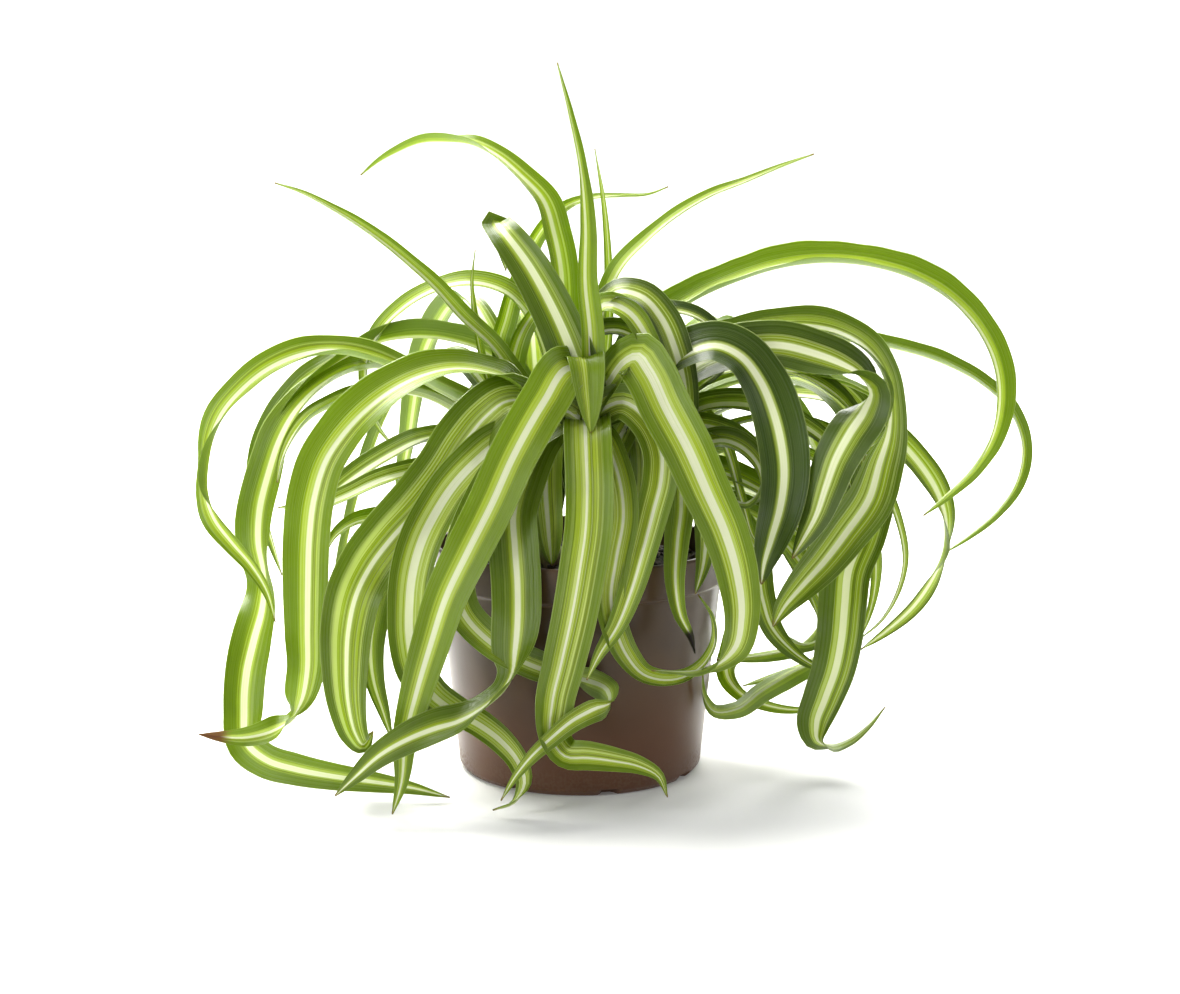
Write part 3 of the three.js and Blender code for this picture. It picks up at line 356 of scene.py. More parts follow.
LEFT = """
outer_arc 19 4 30: -24 140 6 80, -44 150 8 80, -58 157.5 8 78, -72 165 8 75, -86 170.5 7 70,
-100 173 5 65, -114 171 2 55, -127 165.5 0 50, -138 157 -2 50, -146 148 -4 55, -151.5 137 -6 70,
-154 126 -8 88, -154.5 115 -10 80, -151 104 -12 45, -144 94 -14 30, -136 84 -16 28, -130 73 -18 25,
-127 60 -20 25;
far_arc 18.5 4 32: -22 152 22 105, -30 166 24 112, -40 174 28 116, -52 178 32 116, -66 179.5 36 112,
-80 178 38 100, -92 173.5 38 86, -103 167 37 72, -113 160 36 60, -121 151 35 55, -127 141 34 50,
-131 130 33 48, -133 119 32 45, -131 107 31 45, -127.5 94 30 50, -124 80 29 55;
left_strap 21 6 20: -24 155 -8 80, -30 162 -11 75, -40 165.5 -15 68, -52 166.5 -20 60, -64 164 -24 50,
-76 158.5 -29 40, -86 151.5 -33 32, -97 140.5 -37 25, -105 129 -40 18, -110.5 113 -43 10, -113 96 -45 6,
-114 76 -47 4, -114.5 56 -48 2, -115 38 -49 2, -117.5 25.5 -49 40, -121 18.5 -49 85, -129 13.5 -50 30,
-140 10.5 -51 5, -151 10.5 -52 5, -160.5 11.5 -52 10;
under_arc 21.5 5 22: -26 134 26 95, -44 150 30 90, -62 161 31 85, -80 167 31 80, -95 165 30 75,
-107 158 28 68, -116 149 25 60, -123 137 22 50, -128 123 18 40, -132 108 14 35, -133 94 9 45,
-131 80 3 60, -132 66 -5 40, -136 52 -14 25, -139.5 38 -22 12, -141 22 -29 8, -140 8 -35 25,
-132 0.5 -41 15, -120 -3.5 -45 5, -105 -6.5 -49 5, -88 -9 -52 5, -70 -12 -55 10, -55 -16 -57 20;
low_arc 16.5 4 30: -26 128 10 90, -40 139 14 85, -52 149 17 82, -64 155 18 80, -78 157 18 78,
-90 155.5 17 75, -101 151.5 15 72, -111 146 12 66, -118 138 10 60, -122.5 129 8 60, -125 119 6 60;
broad 25 6 14: -17 142 -16 60, -24 153.5 -20 50, -31 153 -24 42, -39 147 -25 32, -48 136 -28.5 24,
-57 122 -33 18, -68 108 -38.5 14, -79 96 -43 10, -88 84 -47 6, -94 72 -52 3, -97.5 57 -54 0,
-98.5 41 -55 0, -98 26 -55 2, -95 12 -52 8, -91 7 -44 10, -87 13 -37 15;
front_curl 18.5 5 20: -14 130 -24 60, -22 139 -29 48, -33 135.5 -34 36, -43 127.5 -40 28, -52 118 -42 20,
-60 106 -46 15, -66 94 -51.5 10, -70 80 -56 6, -71.5 66 -59 3, -71.5 52 -61 0, -69 39 -62 -5,
-62 28 -64 -20, -52 20.5 -66 -30, -42 15 -68.5 -25, -33 8 -71 -15, -26 -1 -73 -5, -23.5 -10 -74.5 20,
-28 -18 -76 80, -37 -21.5 -76 110;
second_hang 15.5 4.5 20: -20 120 -10 70, -36 130 -14 60, -50 126 -20 45, -63 114 -26 30, -73 98 -32 20,
-80 80 -37 12, -85 63 -40 6, -87 48 -42 2, -86 35 -43 0, -82 20 -44 0, -79 9 -44 5;
mid_arc 18 4 26: -24 118 0 85, -38 130 2 80, -52 137.5 2 74, -64 136.5 1 66, -77 130.5 -2 60,
-90 122.5 -6 55, -102 113 -10 50, -111 100 -14 50, -114 84 -18 55;
mid_strap 16.5 4 26: -24 108 -4 85, -40 119 -6 78, -56 124 -8 70, -70 122.5 -12 62, -84 118.5 -18 55,
-96 113 -24 50, -108 108.5 -28 50, -125 108.5 -30 55;
low_strap 13.5 4 24: -24 98 6 85, -42 106 6 78, -62 107 4 62, -80 104.5 0 50, -94 102 -4 45,
-102 96 -8 45, -106 88 -10 50;
top_arc 18 3.6 24: -11 160 16 40, -8 185 18 40, -8 205 20 40, -11 221.5 22 42, -15 234 25 46,
-24 244 28 54, -34 252.5 31 64, -44 257.5 33 80, -54 258.5 35 98, -64 258 37 110, -74 254 38 112,
-82 249.5 39 110, -88.5 244.5 40 108;
straight 14.5 2.4 30: -26 160 2 64, -36 175 2 58, -49 187.5 2 54, -60 200 1 54, -72 211 0 54,
-86 222 -1 56, -100 231 -2 60, -112 237.5 -3 66, -123 241.5 -4 70;
thin_up 6.5 2.2 30: -34 150 8 40, -40 170 8 30, -43 188 8 25, -44 202 8 20, -42.5 214.5 8 30;
thin_flat 12 2.2 26: -22 158 18 20, -31 167 24 20, -32.6 176.5 27 15, -30 186 29 10, -27.4 195.5 31 10,
-23.6 205.6 32 8, -19.3 215.8 33 5, -12.7 225.5 34 -8, -5 232 34 -30, 6 235.5 33 -55, 17 236.2 32 -68,
28 237 31 -74, 35.5 240 31 -75;
up_broad 13.5 3 24: -28 165 12 20, -23.5 181 14 20, -18 190 16 20, -12 201 18 20, -10 208 20 20;
front_fill 13.5 14 22: -12 126 -8 12, -10 143 -17 12, -11 143 -26 10, -13 132 -36 8, -13.5 117 -43 6,
-12.5 101 -47 6, -11.5 84 -49 6;
side_fill 14.5 4.5 22: -18 120 -6 14, -14 140 -14 14, -22 137 -24 12, -32 124 -32 8, -40 110 -38 6,
-46 93 -43 5, -50.5 79 -46 5;
inner_fill 15.5 8 20: -13 122 -6 15, -10 138 -12 15, -13 142 -19 12, -18 131 -27 10, -21.5 115 -34 8,
-21.5 100 -38 6, -20.5 86 -40 5;
high_arc 14.5 4 26: -12 160 18 60, -20 186 22 58, -30 197 25 58, -43.7 201 28 58, -58 198.5 31 58,
-71.7 191 33 58, -81.3 181.4 34 60, -86.9 169.6 34 62, -87.5 156 33 64, -83 143 31 66, -76 133 29 66
"""
RIGHT = """
thin_up 7 2.2 30: 10 160 14 -20, 12 190 14 -15, 11.5 212 14 -10, 9.7 233 14 -10, 6 255 13 -20;
up_right 13 2.4 30: 8 170 4 -50, 10 192 2 -50, 17 208 1 -52, 27 218.5 0 -54, 40 229 0 -56,
53 236.5 -1 -57, 68 242.5 -2 -60, 81 248 -3 -64, 94 253 -4 -68;
big_arc 20.5 4.5 34: 16 150 16 -75, 24 174 17 -68, 36 188 17 -62, 48 195.5 17 -60, 64 202.5 16 -60,
82 208 15 -62, 100 210 13 -64, 118 208.5 10 -64, 134 204 7 -62, 149 196 4 -58, 161 184.5 1 -54,
169 170.5 -2 -50, 172 154 -5 -50, 169.5 138 -8 -54, 162 124.5 -10 -60, 152 114 -12 -62, 142 105 -13 -62;
far_arc 13.5 4 32: 22 140 40 -85, 40 160 46 -80, 62 172 52 -76, 86 178 56 -74, 108 178 58 -72,
128 175 58 -70, 148 169 57 -68, 165 160 55 -66, 177 148.5 52 -62, 182.5 134 48 -58, 180.5 119 44 -58,
173 107 40 -62, 162 97 36 -64, 150 88.5 32 -66;
striped_arc 22 12 22: 18 148 0 -80, 32 165 0 -75, 48 175 0 -70, 62 179 -1 -66, 78 183 -2 -64,
92 183.5 -3 -62, 105 181 -5 -62, 116 175 -8 -65, 124 165 -12 -75, 127 153 -16 -80, 126.5 140 -20 -60,
123 127 -23 -35, 119 112 -25 -15, 110 98 -27 -5, 101 85.5 -29 0, 92 75 -30 5, 85.5 67 -31 10,
80.5 58 -31 15;
wide_arc 22 8 12: 18 136 -12 -60, 34 156 -14 -50, 52 170 -16 -42, 68 175 -18 -35, 82 175.5 -20 -30,
95 172.5 -22 -32, 107 168 -25 -48, 116 162.5 -29 -78, 119.5 156.5 -33 -112, 117 149 -37 -145,
111 139.5 -40 -168, 105.5 129 -41 -178, 101.5 117 -42 -180, 97.5 104.5 -42 -180, 92 94 -42 -175,
88 87 -42 -170;
small_curl 9 4 26: 20 130 10 -85, 44 152 10 -80, 70 162 8 -78, 96 163 4 -76, 114 158 0 -72,
124.5 151 -4 -60, 127 142 -8 -40, 122 135.5 -12 -20, 114 130.5 -15 0, 108 123 -17 20, 106 112 -18 30;
dark_droop 22 10 15: 16 142 -16 -60, 28 160 -18 -55, 42 172 -21 -50, 56 176 -24 -42, 66 171.5 -28 -34,
74 161.5 -32 -26, 79.5 149 -35 -18, 83 136 -37 -10, 84.5 122 -39 -5, 83 108 -41 0, 79.5 95 -42 5,
76.5 84 -43 8, 75.5 76 -43 10;
inner_arc 17 5 18: 8 170 -10 -80, 8 190 -10 -72, 16 197.5 -13 -60, 25 195.5 -16 -48, 33 187 -19 -36,
38.5 175 -22 -26, 42 162 -25 -18, 43.5 148 -27 -12, 43 134 -29 -8, 40 120 -31 -4;
pale_arc 14.5 4 22: 6 165 -14 -75, 4 184 -16 -60, 11 192 -20 -45, 19 189 -24 -36, 26 180 -27 -28,
31 168 -30 -22, 34 154 -32 -18, 35 140 -33 -14;
dark_curl 14.5 4 22: 14 165 4 -75, 22 182 4 -72, 34 189.5 2 -66, 46 188 -1 -62, 55 181.5 -4 -60,
59.5 172.5 -7 -64, 57 164.5 -10 -88, 50 159 -12 -105, 44 154 -13 -110;
inner_bow 15.5 4 24: 6 156 -8 -70, 3 172 -9 -60, 8 181 -11 -50, 16 182 -13 -42, 24 178 -15 -38,
30 170 -17 -34, 35 160 -19 -30;
second_bow 17 4 26: 18 140 8 -70, 34 154 8 -64, 52 163 7 -60, 72 166.5 5 -56, 88 164.5 2 -54,
100 159 -2 -52, 110 150.5 -6 -50, 116 140 -10 -46, 117 128 -12 -42;
third_bow 18 4 26: 18 124 2 -70, 36 142 0 -62, 54 150.5 -3 -56, 72 150 -7 -50, 86 145 -10 -46,
98 138 -12 -42, 108 128 -14 -38, 112 116 -16 -34;
fourth_bow 16.5 4 24: 18 118 -6 -66, 34 134 -9 -58, 48 142 -13 -52, 60 139.5 -17 -46, 70 133 -20 -42,
77 124 -23 -38, 80 112 -25 -34;
loop_leaf 14.5 4 22: 18 112 -10 -66, 34 126 -15 -58, 48 134 -20 -50, 60 136.5 -24 -42, 69 132 -27 -40,
74.5 124 -29 -46, 74.5 115 -31 -70, 69 110 -32 -105, 62 112.5 -33 -125, 58 119 -33 -135;
low_bow 16.5 4 24: 18 106 8 -70, 36 120 6 -62, 54 124 2 -56, 68 119.5 -3 -50, 80 112 -8 -46,
90 101 -12 -42, 95 88 -14 -38;
hanging 22.5 7 16: 20 128 22 -80, 42 150 24 -72, 68 163 24 -64, 92 162 20 -56, 109 151 14 -46,
117 134 6 -34, 119 115 0 -22, 116 98 -6 -12, 110.5 82 -10 -4, 109.3 67 -13 0, 108.3 53 -15 0,
106 39.5 -17 0, 102 27 -18 5, 98.8 16 -19 20, 100 8.5 -20 60, 105.5 6.3 -20 95, 113 8.5 -20 100,
121 14.5 -20 95, 128.5 23.5 -20 90;
right_leaf 16 5 18: 22 120 26 -80, 46 142 30 -76, 74 154 30 -72, 100 153.5 27 -66, 117 146.5 23 -58,
129 137.5 19 -45, 139 127 15 -38, 147 115 11 -45, 151.5 101 8 -75, 151 89 6 -95, 146 78 4 -60,
138 66 2 -40, 128 56.5 0 -35, 117 48 -2 -35;
thin_drop 7.5 3.5 26: 22 116 14 -80, 50 138 16 -76, 80 146 15 -72, 106 139 12 -65, 122 122 8 -55,
131 104 4 -45, 134.5 86 0 -50, 132 73 -3 -60, 125 60 -6 -60, 116 52 -8 -60;
mid_drop 10 3.5 24: 22 108 16 -80, 48 128 17 -74, 76 135 16 -68, 100 126 13 -56, 115 108 10 -40,
122 90 7 -25, 122.5 75 5 -15, 120 62 3 -10, 116 51 2 -10;
low_right_a 13 4 20: 24 100 28 -80, 48 116 34 -72, 72 114 36 -60, 90 98 36 -50, 100 78 34 -50,
101 60 31 -75, 92 49.5 28 -120, 80 46 26 -150, 68 44.5 24 -160, 57 44 22 -165;
low_right_b 14 4 20: 24 96 20 -80, 46 108 22 -72, 68 106 22 -60, 86 92 20 -50, 98 74 18 -48,
104 56 16 -60, 99 44 12 -100, 88 37.5 6 -140, 76 30 -4 -160, 66 22.5 -16 -170, 56 22 -24 -200,
52 29 -28 -230, 51.5 38 -30 -250;
low_right_c 13.5 4 20: 24 100 12 -80, 42 112 12 -70, 60 108 10 -50, 72 91 8 -30, 76 70 6 -15, 80 58 5 0,
87 49.5 4 25, 96 42.5 2 30, 106 38 0 30;
low_right_d 13.5 4 20: 24 104 26 -80, 46 115 38 -66, 64 108 44 -50, 71 88 44 -30, 68 66 40 -10,
64 50 34 5, 62 38 26 25, 68 29.5 18 45, 79 24.5 12 40, 92 22.5 8 35, 102 24 6 30;
front_fill 12 14 22: 23 126 -4 -8, 28 146 -12 -8, 22.5 146.5 -20 -8, 15.5 135.5 -28 -4, 12 121 -35 0,
11.5 104 -40 0, 12 87 -43 0;
inner_fill 15.5 8 20: 17 122 -4 -15, 20 140 -10 -15, 24 143 -18 -12, 27 132 -27 -10, 27 117 -34 -8,
25 101 -38 -6, 24 87 -41 -5;
side_fill 13.5 6 22: 23 124 -6 -14, 28 142 -14 -14, 36 141 -24 -12, 45 129 -33 -10, 51 113 -41 -8,
52 98 -45 -6, 51 84 -48 -4, 48 72 -51 0;
low_right_e 13 4 20: 24 98 36 -80, 50 118 46 -72, 78 118 52 -64, 98 104 52 -56, 109 84 48 -50,
111 66 43 -60, 105 51 38 -100, 95 42 33 -135, 85 38 29 -150, 76 35 26 -160, 68 32.5 24 -165;
low_right_f 12.5 4 20: 24 100 22 -80, 44 114 27 -72, 64 112 30 -60, 80 98 29 -50, 92 80 26 -45,
99 64 22 -60, 101 53.5 18 -100, 94 50 14 -130, 86 53 11 -145, 79.5 58 9 -150, 74.5 64 7 -150
"""

# %% [markdown]
# Behind the rosettes the photograph shows nothing, but a real plant is round. These arching leaves,
# with two short ones among them, are given by a heading, how far they reach, how high they rise
# above the crown, how low they drop and how wide they are.

# %% Leaves at the back, and the crowns that all leaves grow from
BACK_LEAVES = [
    ["right", 28, 118, 66, 30, 13],
    ["right", 46, 138, 84, 8, 15],
    ["right", 62, 112, 58, 52, 14],
    ["right", 76, 142, 92, 24, 15],
    ["right", 90, 104, 48, 60, 13],
    ["left", 98, 126, 88, 36, 15],
    ["left", 112, 108, 60, 58, 14],
    ["left", 126, 140, 94, 12, 15],
    ["left", 140, 116, 70, 50, 14],
    ["left", 205, 62, 56, 4, 11],
    ["right", 338, 62, 56, 4, 11],
]
STOCKS = {
    "front": dict(x=2, y=-30, foot=70, top=150, wide=6.5, narrow=3.6),
    "left": dict(x=-15, y=6, foot=70, top=97, wide=9, narrow=6.5),
    "right": dict(x=16, y=10, foot=70, top=97, wide=9, narrow=6.5),
}


def read_leaves(table):
    """Each entry of a table as its name, [width, taper, fold] and rows of points."""
    entries = []
    for entry in table.split(";"):
        head, points = entry.split(":")
        name, *shape = head.split()
        rows = np.array([point.split() for point in points.split(",")], float)
        entries.append((name, [float(v) for v in shape], rows))
    return entries


BY_HAND = {"front": read_leaves(FRONT), "left": read_leaves(LEFT), "right": read_leaves(RIGHT)}
print("leaves:", sum(len(v) for v in BY_HAND.values()), "placed by hand and", len(BACK_LEAVES), "behind")

# %% [markdown]
# ## From the tables to a midrib
# A point slides along its own line of sight until it has its depth. Then the leaf gets its hidden
# start inside the crown, and one smooth curve goes through all points.

# %% Points in space and the curve through them
def placed(rows):
    """Distance from the eye's height and axis grows with depth: scale = (885 + depth) / 885."""
    scale = (-EYE[1] + rows[:, 2]) / -EYE[1]
    height = EYE[2] + (rows[:, 1] - EYE[2]) * scale
    return np.column_stack([rows[:, 0] * scale, rows[:, 2], height, rows[:, 3]])


def midrib(rosette, rows):
    """The points, and before them a start inside the crown, a little towards the first point."""
    stock = STOCKS[rosette]
    path = placed(rows)
    toward = path[0, :2] - (stock["x"], stock["y"])
    toward /= np.linalg.norm(toward)
    # Each start is how far out it lies from the crown's axis, and its height
    if rosette == "front":
        starts = [(1, stock["top"] - 50), (2.5, stock["top"] - 32)]
    else:
        starts = [(2, stock["foot"] + 16), (4.5, stock["top"] + 1)]
    kept = starts if path[0, 2] > starts[1][1] + 6 else starts[:1]
    roots = [[stock["x"] + o * toward[0], stock["y"] + o * toward[1], up, path[0, 3]] for o, up in kept]
    return np.vstack([roots, path])


def arch(rosette, heading, reach, rise, drop, swing):
    """Out from the crown, highest near the middle of the reach, the tip falling to the drop.

    Eight points: two inside the crown, then shares of the reach with their shares of rise or drop.
    """
    stock = STOCKS[rosette]
    out = np.array([2, 5, 0.22 * reach, 0.45 * reach, 0.68 * reach, 0.86 * reach, 0.96 * reach, reach])
    lift = np.array([0, 0, 0.72 * rise, rise, 0.78 * rise, 0.25 * rise, -0.45 * drop, -drop])
    up = stock["top"] + lift
    up[:2] = stock["foot"] + 16, stock["top"] + 4
    turn = np.radians(heading + swing * (np.arange(8) / 7) ** 2)
    x, y = stock["x"] + out * np.cos(turn), stock["y"] + out * np.sin(turn)
    return np.column_stack([x, y, up])


def smooth_curve(points, parts):
    """Hermite curve at parts (0 to 1) of the chord length; slopes blend the chords beside a point."""
    chords = np.diff(points, axis=0)
    steps = steps_of(points)
    slopes = chords / steps[:, None]
    before, after = steps[:-1, None], steps[1:, None]
    inner = (slopes[:-1] * after + slopes[1:] * before) / (before + after)
    tangents = np.vstack([slopes[:1], inner, slopes[-1:]])
    lengths = np.concatenate([[0], np.cumsum(steps)])
    reach = parts * lengths[-1]
    i = np.clip(np.searchsorted(lengths, reach, side="right") - 1, 0, len(steps) - 1)
    step = steps[i][:, None]
    t = (reach - lengths[i])[:, None] / step
    return (points[i] * (1 + 2 * t) * (1 - t) ** 2 + tangents[i] * t * (1 - t) ** 2 * step
            + points[i + 1] * t * t * (3 - 2 * t) + tangents[i + 1] * t * t * (t - 1) * step)


print("the tall leaf starts at", midrib("front", BY_HAND["front"][0][2])[0].round(1))

# %% [markdown]
# ## Which way a leaf faces
# A ribbon also needs its upper side. A leaf from the tables turns that side by a known angle from
# the eye. An arching leaf keeps one side edge level and leans a little.

# %% Upper side of a ribbon
def facing_eye(points, along, face):
    """Square to the midrib and towards the eye, then turned about the midrib by the face angle."""
    eye = EYE - points
    eye = unit(eye - along * np.sum(eye * along, 1, keepdims=True))
    side = np.cross(along, eye)
    turn = np.radians(face)[:, None]
    return eye * np.cos(turn) + side * np.sin(turn)


def facing_sky(heading, lean):
    """Square to the midrib and to a level side line, which is turned about the midrib by the lean."""
    level = np.array([math.sin(math.radians(heading)), -math.cos(math.radians(heading)), 0])

    def upper(points, along, face):
        turn = math.radians(lean)
        side = (level * math.cos(turn) + np.cross(along, level) * math.sin(turn)
                + along * (along @ level)[:, None] * (1 - math.cos(turn)))
        side = side - along * np.sum(side * along, 1, keepdims=True)
        return unit(np.cross(side, along))

    return upper


print("facing helpers ready")

# %% [markdown]
# ## One leaf
# A leaf is a channel: two halves rise from a keel. It is about a millimetre thick along the keel and
# thin at its margins, narrow where it leaves the crown, and drawn out to a long point. Its margins
# wave a little, each by itself. The ring around the leaf has its points closer together at the
# margins, which rounds them.

# %% Leaf surface
COLUMNS = 13  # points across the upper side
ROW_LENGTH = 2.4  # millimetres of leaf between rows
SOFT = 0.02  # how rounded the keel is
THIN_TIP = 0.3  # least half width
SEEDS = 97  # a seed's remainder spreads the leaves over the pattern


def leaf_rows(points):
    """Rows by length, 64 to 170 in all, and closer together at the tip."""
    length = steps_of(points).sum()
    count = int(np.clip(length / ROW_LENGTH, 64, 170))
    even = np.linspace(0, 1, count)
    return 0.88 * even + 0.12 * (1 - (1 - even) ** 2), length


def carried_back(along, up, first):
    """Before row first, up is the next row's, turned only as far as the midrib bends there."""
    for i in range(first - 1, -1, -1):
        both = along[i] + along[i + 1]
        up[i] = up[i + 1] - both * (along[i] @ up[i + 1]) / (1 + along[i] @ along[i + 1])
    return unit(up)


def leaf_surface(points, width, taper, fold, upper, seed, steady):
    """The grid of part (along the leaf) and s (across, -1 to 1).

    Point = midrib + side * s * half * cos(angle) + up * (half * sin(angle) * crease(s) + ripple),
    where crease is a rounded V, half is the half width at that part, angle the fold and ripple the
    waves of the margins. The underside lies below by a thickness that is greatest at the midrib and
    nothing at the margins. Before point number steady the leaf keeps the way it faces there, as a
    blade does that only bends over.
    """
    parts, length = leaf_rows(points)
    path = smooth_curve(points, parts)
    ahead = smooth_curve(points, np.clip(parts + 0.004, 0, 1))[:, :3]
    behind = smooth_curve(points, np.clip(parts - 0.004, 0, 1))[:, :3]
    along = unit(ahead - behind)
    up = upper(path[:, :3], along, path[:, 3] if path.shape[1] > 3 else None)
    chords = steps_of(points)
    start = chords[:steady].sum() / chords.sum()
    up = carried_back(along, up, int(np.searchsorted(parts, start)))
    side = np.cross(up, along)

    rng = np.random.default_rng(seed)
    # Narrow at the crown and full from a quarter of the length on, then tapered
    foot = 0.42 + 0.58 * ease(parts / 0.26)
    half = 0.5 * width * foot * (1 - parts ** taper) ** 0.8
    half = np.maximum(THIN_TIP, half)[:, None]
    angle = np.radians(fold + 20 * (1 - ease(parts / 0.3)))[:, None]

    s = np.sin(np.linspace(-np.pi / 2, np.pi / 2, COLUMNS))[None, :]
    crease = 0.62 * (np.sqrt(s * s + SOFT) - math.sqrt(SOFT)) / (math.sqrt(1 + SOFT) - math.sqrt(SOFT))
    crease = crease + 0.38 * s * s
    # Each margin has one long and one short wave, calm near the crown and near the tip
    travel = parts[:, None] * length
    ripple = 0.0
    for sign in (-1, 1):
        for size in (rng.uniform(34, 60), rng.uniform(14, 24)):
            wave = np.sin(2 * np.pi * travel / size + rng.uniform(0, 6.28)) * size / 60
            ripple = ripple + wave * np.clip(sign * s, 0, 1) ** 2
    calm = ease(parts / 0.25)[:, None] * ease((1 - parts) / 0.1)[:, None]
    lift = half * np.sin(angle) * crease + 0.055 * half * ripple * calm
    top = (path[:, None, :3] + side[:, None] * (s * half * np.cos(angle))[..., None]
           + up[:, None] * lift[..., None])

    thick = np.sqrt(1 - s * s) * (0.42 + 0.58 * np.exp(-(s / 0.16) ** 2))
    thick = thick * (0.45 + 0.55 * np.clip(half / 4, 0, 1))
    bottom = top - up[:, None] * thick[..., None]
    ring = np.concatenate([top, bottom[:, -2:0:-1]], 1)
    across = np.concatenate([s[0], s[0, -2:0:-1]])
    return ring, parts, length, across


def leaf_piece(name, rosette, points, shape, upper, facts, material, steady=0):
    """One closed leaf with its UV map and with what the material asks of each leaf."""
    ring, parts, length, across = leaf_surface(points, *shape, upper, facts["seed"], steady)
    size = ring.shape[:2]
    under = np.zeros(size)
    under[:, COLUMNS:] = facts["dull"]
    values = {"part": np.repeat(parts, size[1]), "under": under.ravel()}
    values["seed"] = facts["seed"] % SEEDS / SEEDS
    values.update({key: facts[key] for key in ("stripe", "shift", "lined", "tone", "dry")})
    u = np.broadcast_to((across + 1) / 2, size)
    v = np.broadcast_to((parts * length / 1000)[:, None], size)
    piece = tube_piece(name, ring, material, np.stack([u, v], -1).reshape(-1, 2), values)
    return stands_for(piece, "rosette_" + rosette)


print("leaf helpers ready:", 2 * COLUMNS - 2, "points round each leaf")

# %% [markdown]
# ## Leaf finish
# Across a leaf runs a cream stripe with pale green streaks on both sides, then green margins and a
# thin pale line at the very edge. Everything is drawn out lengthwise, because the veins are. The
# pattern group below is fed from the leaf's own UV map, so it bends with the leaf. It gives out
# masks only, and the colours and gloss are set in the material.

# %% Stripes and veins along a leaf
stripes = bpy.data.node_groups.new("leaf_stripes", "ShaderNodeTree")
for way, keys in (("INPUT", ("Across", "Along", "Seed", "Stripe", "Shift", "Lined")),
                  ("OUTPUT", ("Cream", "Pale", "Lime", "Dark", "Vein", "Edge"))):
    for key in keys:
        stripes.interface.new_socket(key, in_out=way, socket_type="NodeSocketFloat")
given = add(stripes, "NodeGroupInput").outputs
centred = line(given["Across"], 2.0, -1.0)
seed_far = times(given["Seed"], 57.0)


def drawn_noise(across, along, detail):
    """Noise that is fine across the leaf and slow along it, different for every seed."""
    inputs = {"X": times(centred, across), "Y": times(given["Along"], along), "Z": seed_far}
    return noise(add(stripes, "ShaderNodeCombineXYZ", inputs).outputs[0], 1.0, detail, 0.55)


# The whole stripe wanders a little to one side and back
moved = maths("ADD", centred, varied(given["Shift"], drawn_noise(0.0, 8.0, 1.0), 0.14))
away = maths("ABSOLUTE", moved)
broad = drawn_noise(3.4, 2.0, 1.0)
middle = drawn_noise(11.0, 3.0, 2.0)
fine = drawn_noise(30.0, 6.0, 2.0)

# Cream core with a crisp side and faint lines in it, and a pale fringe beside it
ragged = varied(away, middle, 0.16)
stripe = given["Stripe"]
core_in = maths("SUBTRACT", stripe, 0.02)
core = step_between(ragged, maths("ADD", stripe, 0.02), core_in)
core = times(core, step_between(fine, 1.0, 0.52))
fringe = step_between(ragged, maths("ADD", stripe, 0.11), core_in)

# Yellow-green zone round the core, broad in a much lined leaf, with a clear but wavy side
reach = maths("ADD", line(given["Lined"], 0.36, 0.10), stripe)
wavy = varied(varied(away, broad, 0.55), middle, 0.30)
lime = step_between(wavy, maths("ADD", reach, 0.05), maths("SUBTRACT", reach, 0.05))

# Crisp pale lines in that zone and just outside it, and dark lines within it
near = step_between(wavy, maths("ADD", reach, 0.22), reach)
coarse_lines = step_between(middle, 0.560, 0.585)
thin_lines = times(step_between(fine, 0.57, 0.61), 0.6)
lined = times(maths("MAXIMUM", coarse_lines, thin_lines), near)
lined = times(lined, line(given["Lined"], 0.75, 0.15))
pale = maths("MAXIMUM", lined, times(fringe, 0.75))
dark = times(step_between(middle, 0.440, 0.415), lime)
edge = step_between(maths("ABSOLUTE", centred), 0.955, 0.99)
put(add(stripes, "NodeGroupOutput"),
    {"Cream": core, "Pale": pale, "Lime": lime, "Dark": dark, "Vein": fine, "Edge": edge})
print("leaf_stripes:", len(stripes.nodes), "nodes")

# %% [markdown]
# The material mixes those masks into colours. Part of the light goes through a thin leaf, so a
# translucent share is mixed in, a little yellower than the upper side. The underside is duller, the
# foot is a pale yellow-green where the leaf leaves the crown, and two tips have dried to brown.

# %% Leaf material
GREEN_DEEP = (0.022, 0.050, 0.003, 1)
GREEN_FRESH = (0.190, 0.290, 0.004, 1)
LIME = (0.420, 0.530, 0.025, 1)
PALE_GREEN = (0.600, 0.690, 0.210, 1)
CREAM = (0.830, 0.850, 0.620, 1)
MARGIN = (0.50, 0.60, 0.20, 1)
FOOT = (0.40, 0.50, 0.10, 1)
UNDERSIDE = (0.28, 0.38, 0.10, 1)
TAN_DARK, TAN_LIGHT = (0.10, 0.030, 0.010, 1), (0.30, 0.12, 0.04, 1)
CHARRED = (0.016, 0.010, 0.006, 1)
SHONE_THROUGH = (0.55, 0.72, 0.02, 1)
THROUGH_SHARE = 0.42  # how much of a leaf's shine is light that goes through it

leaf, tree, skin = new_material("spider_plant_leaf")
uv = add(tree, "ShaderNodeUVMap", uv_map="blade").outputs["UV"]
place = split(uv)
fact = {
    key: add(tree, "ShaderNodeAttribute", attribute_type="GEOMETRY", attribute_name=key).outputs["Fac"]
    for key in ("part", "under", "seed", "stripe", "shift", "lined", "tone", "dry")
}
inputs = {"Across": place["X"], "Along": place["Y"]}
inputs.update({key.title(): fact[key] for key in ("seed", "stripe", "shift", "lined")})
mask = add(tree, "ShaderNodeGroup", inputs, node_tree=stripes).outputs
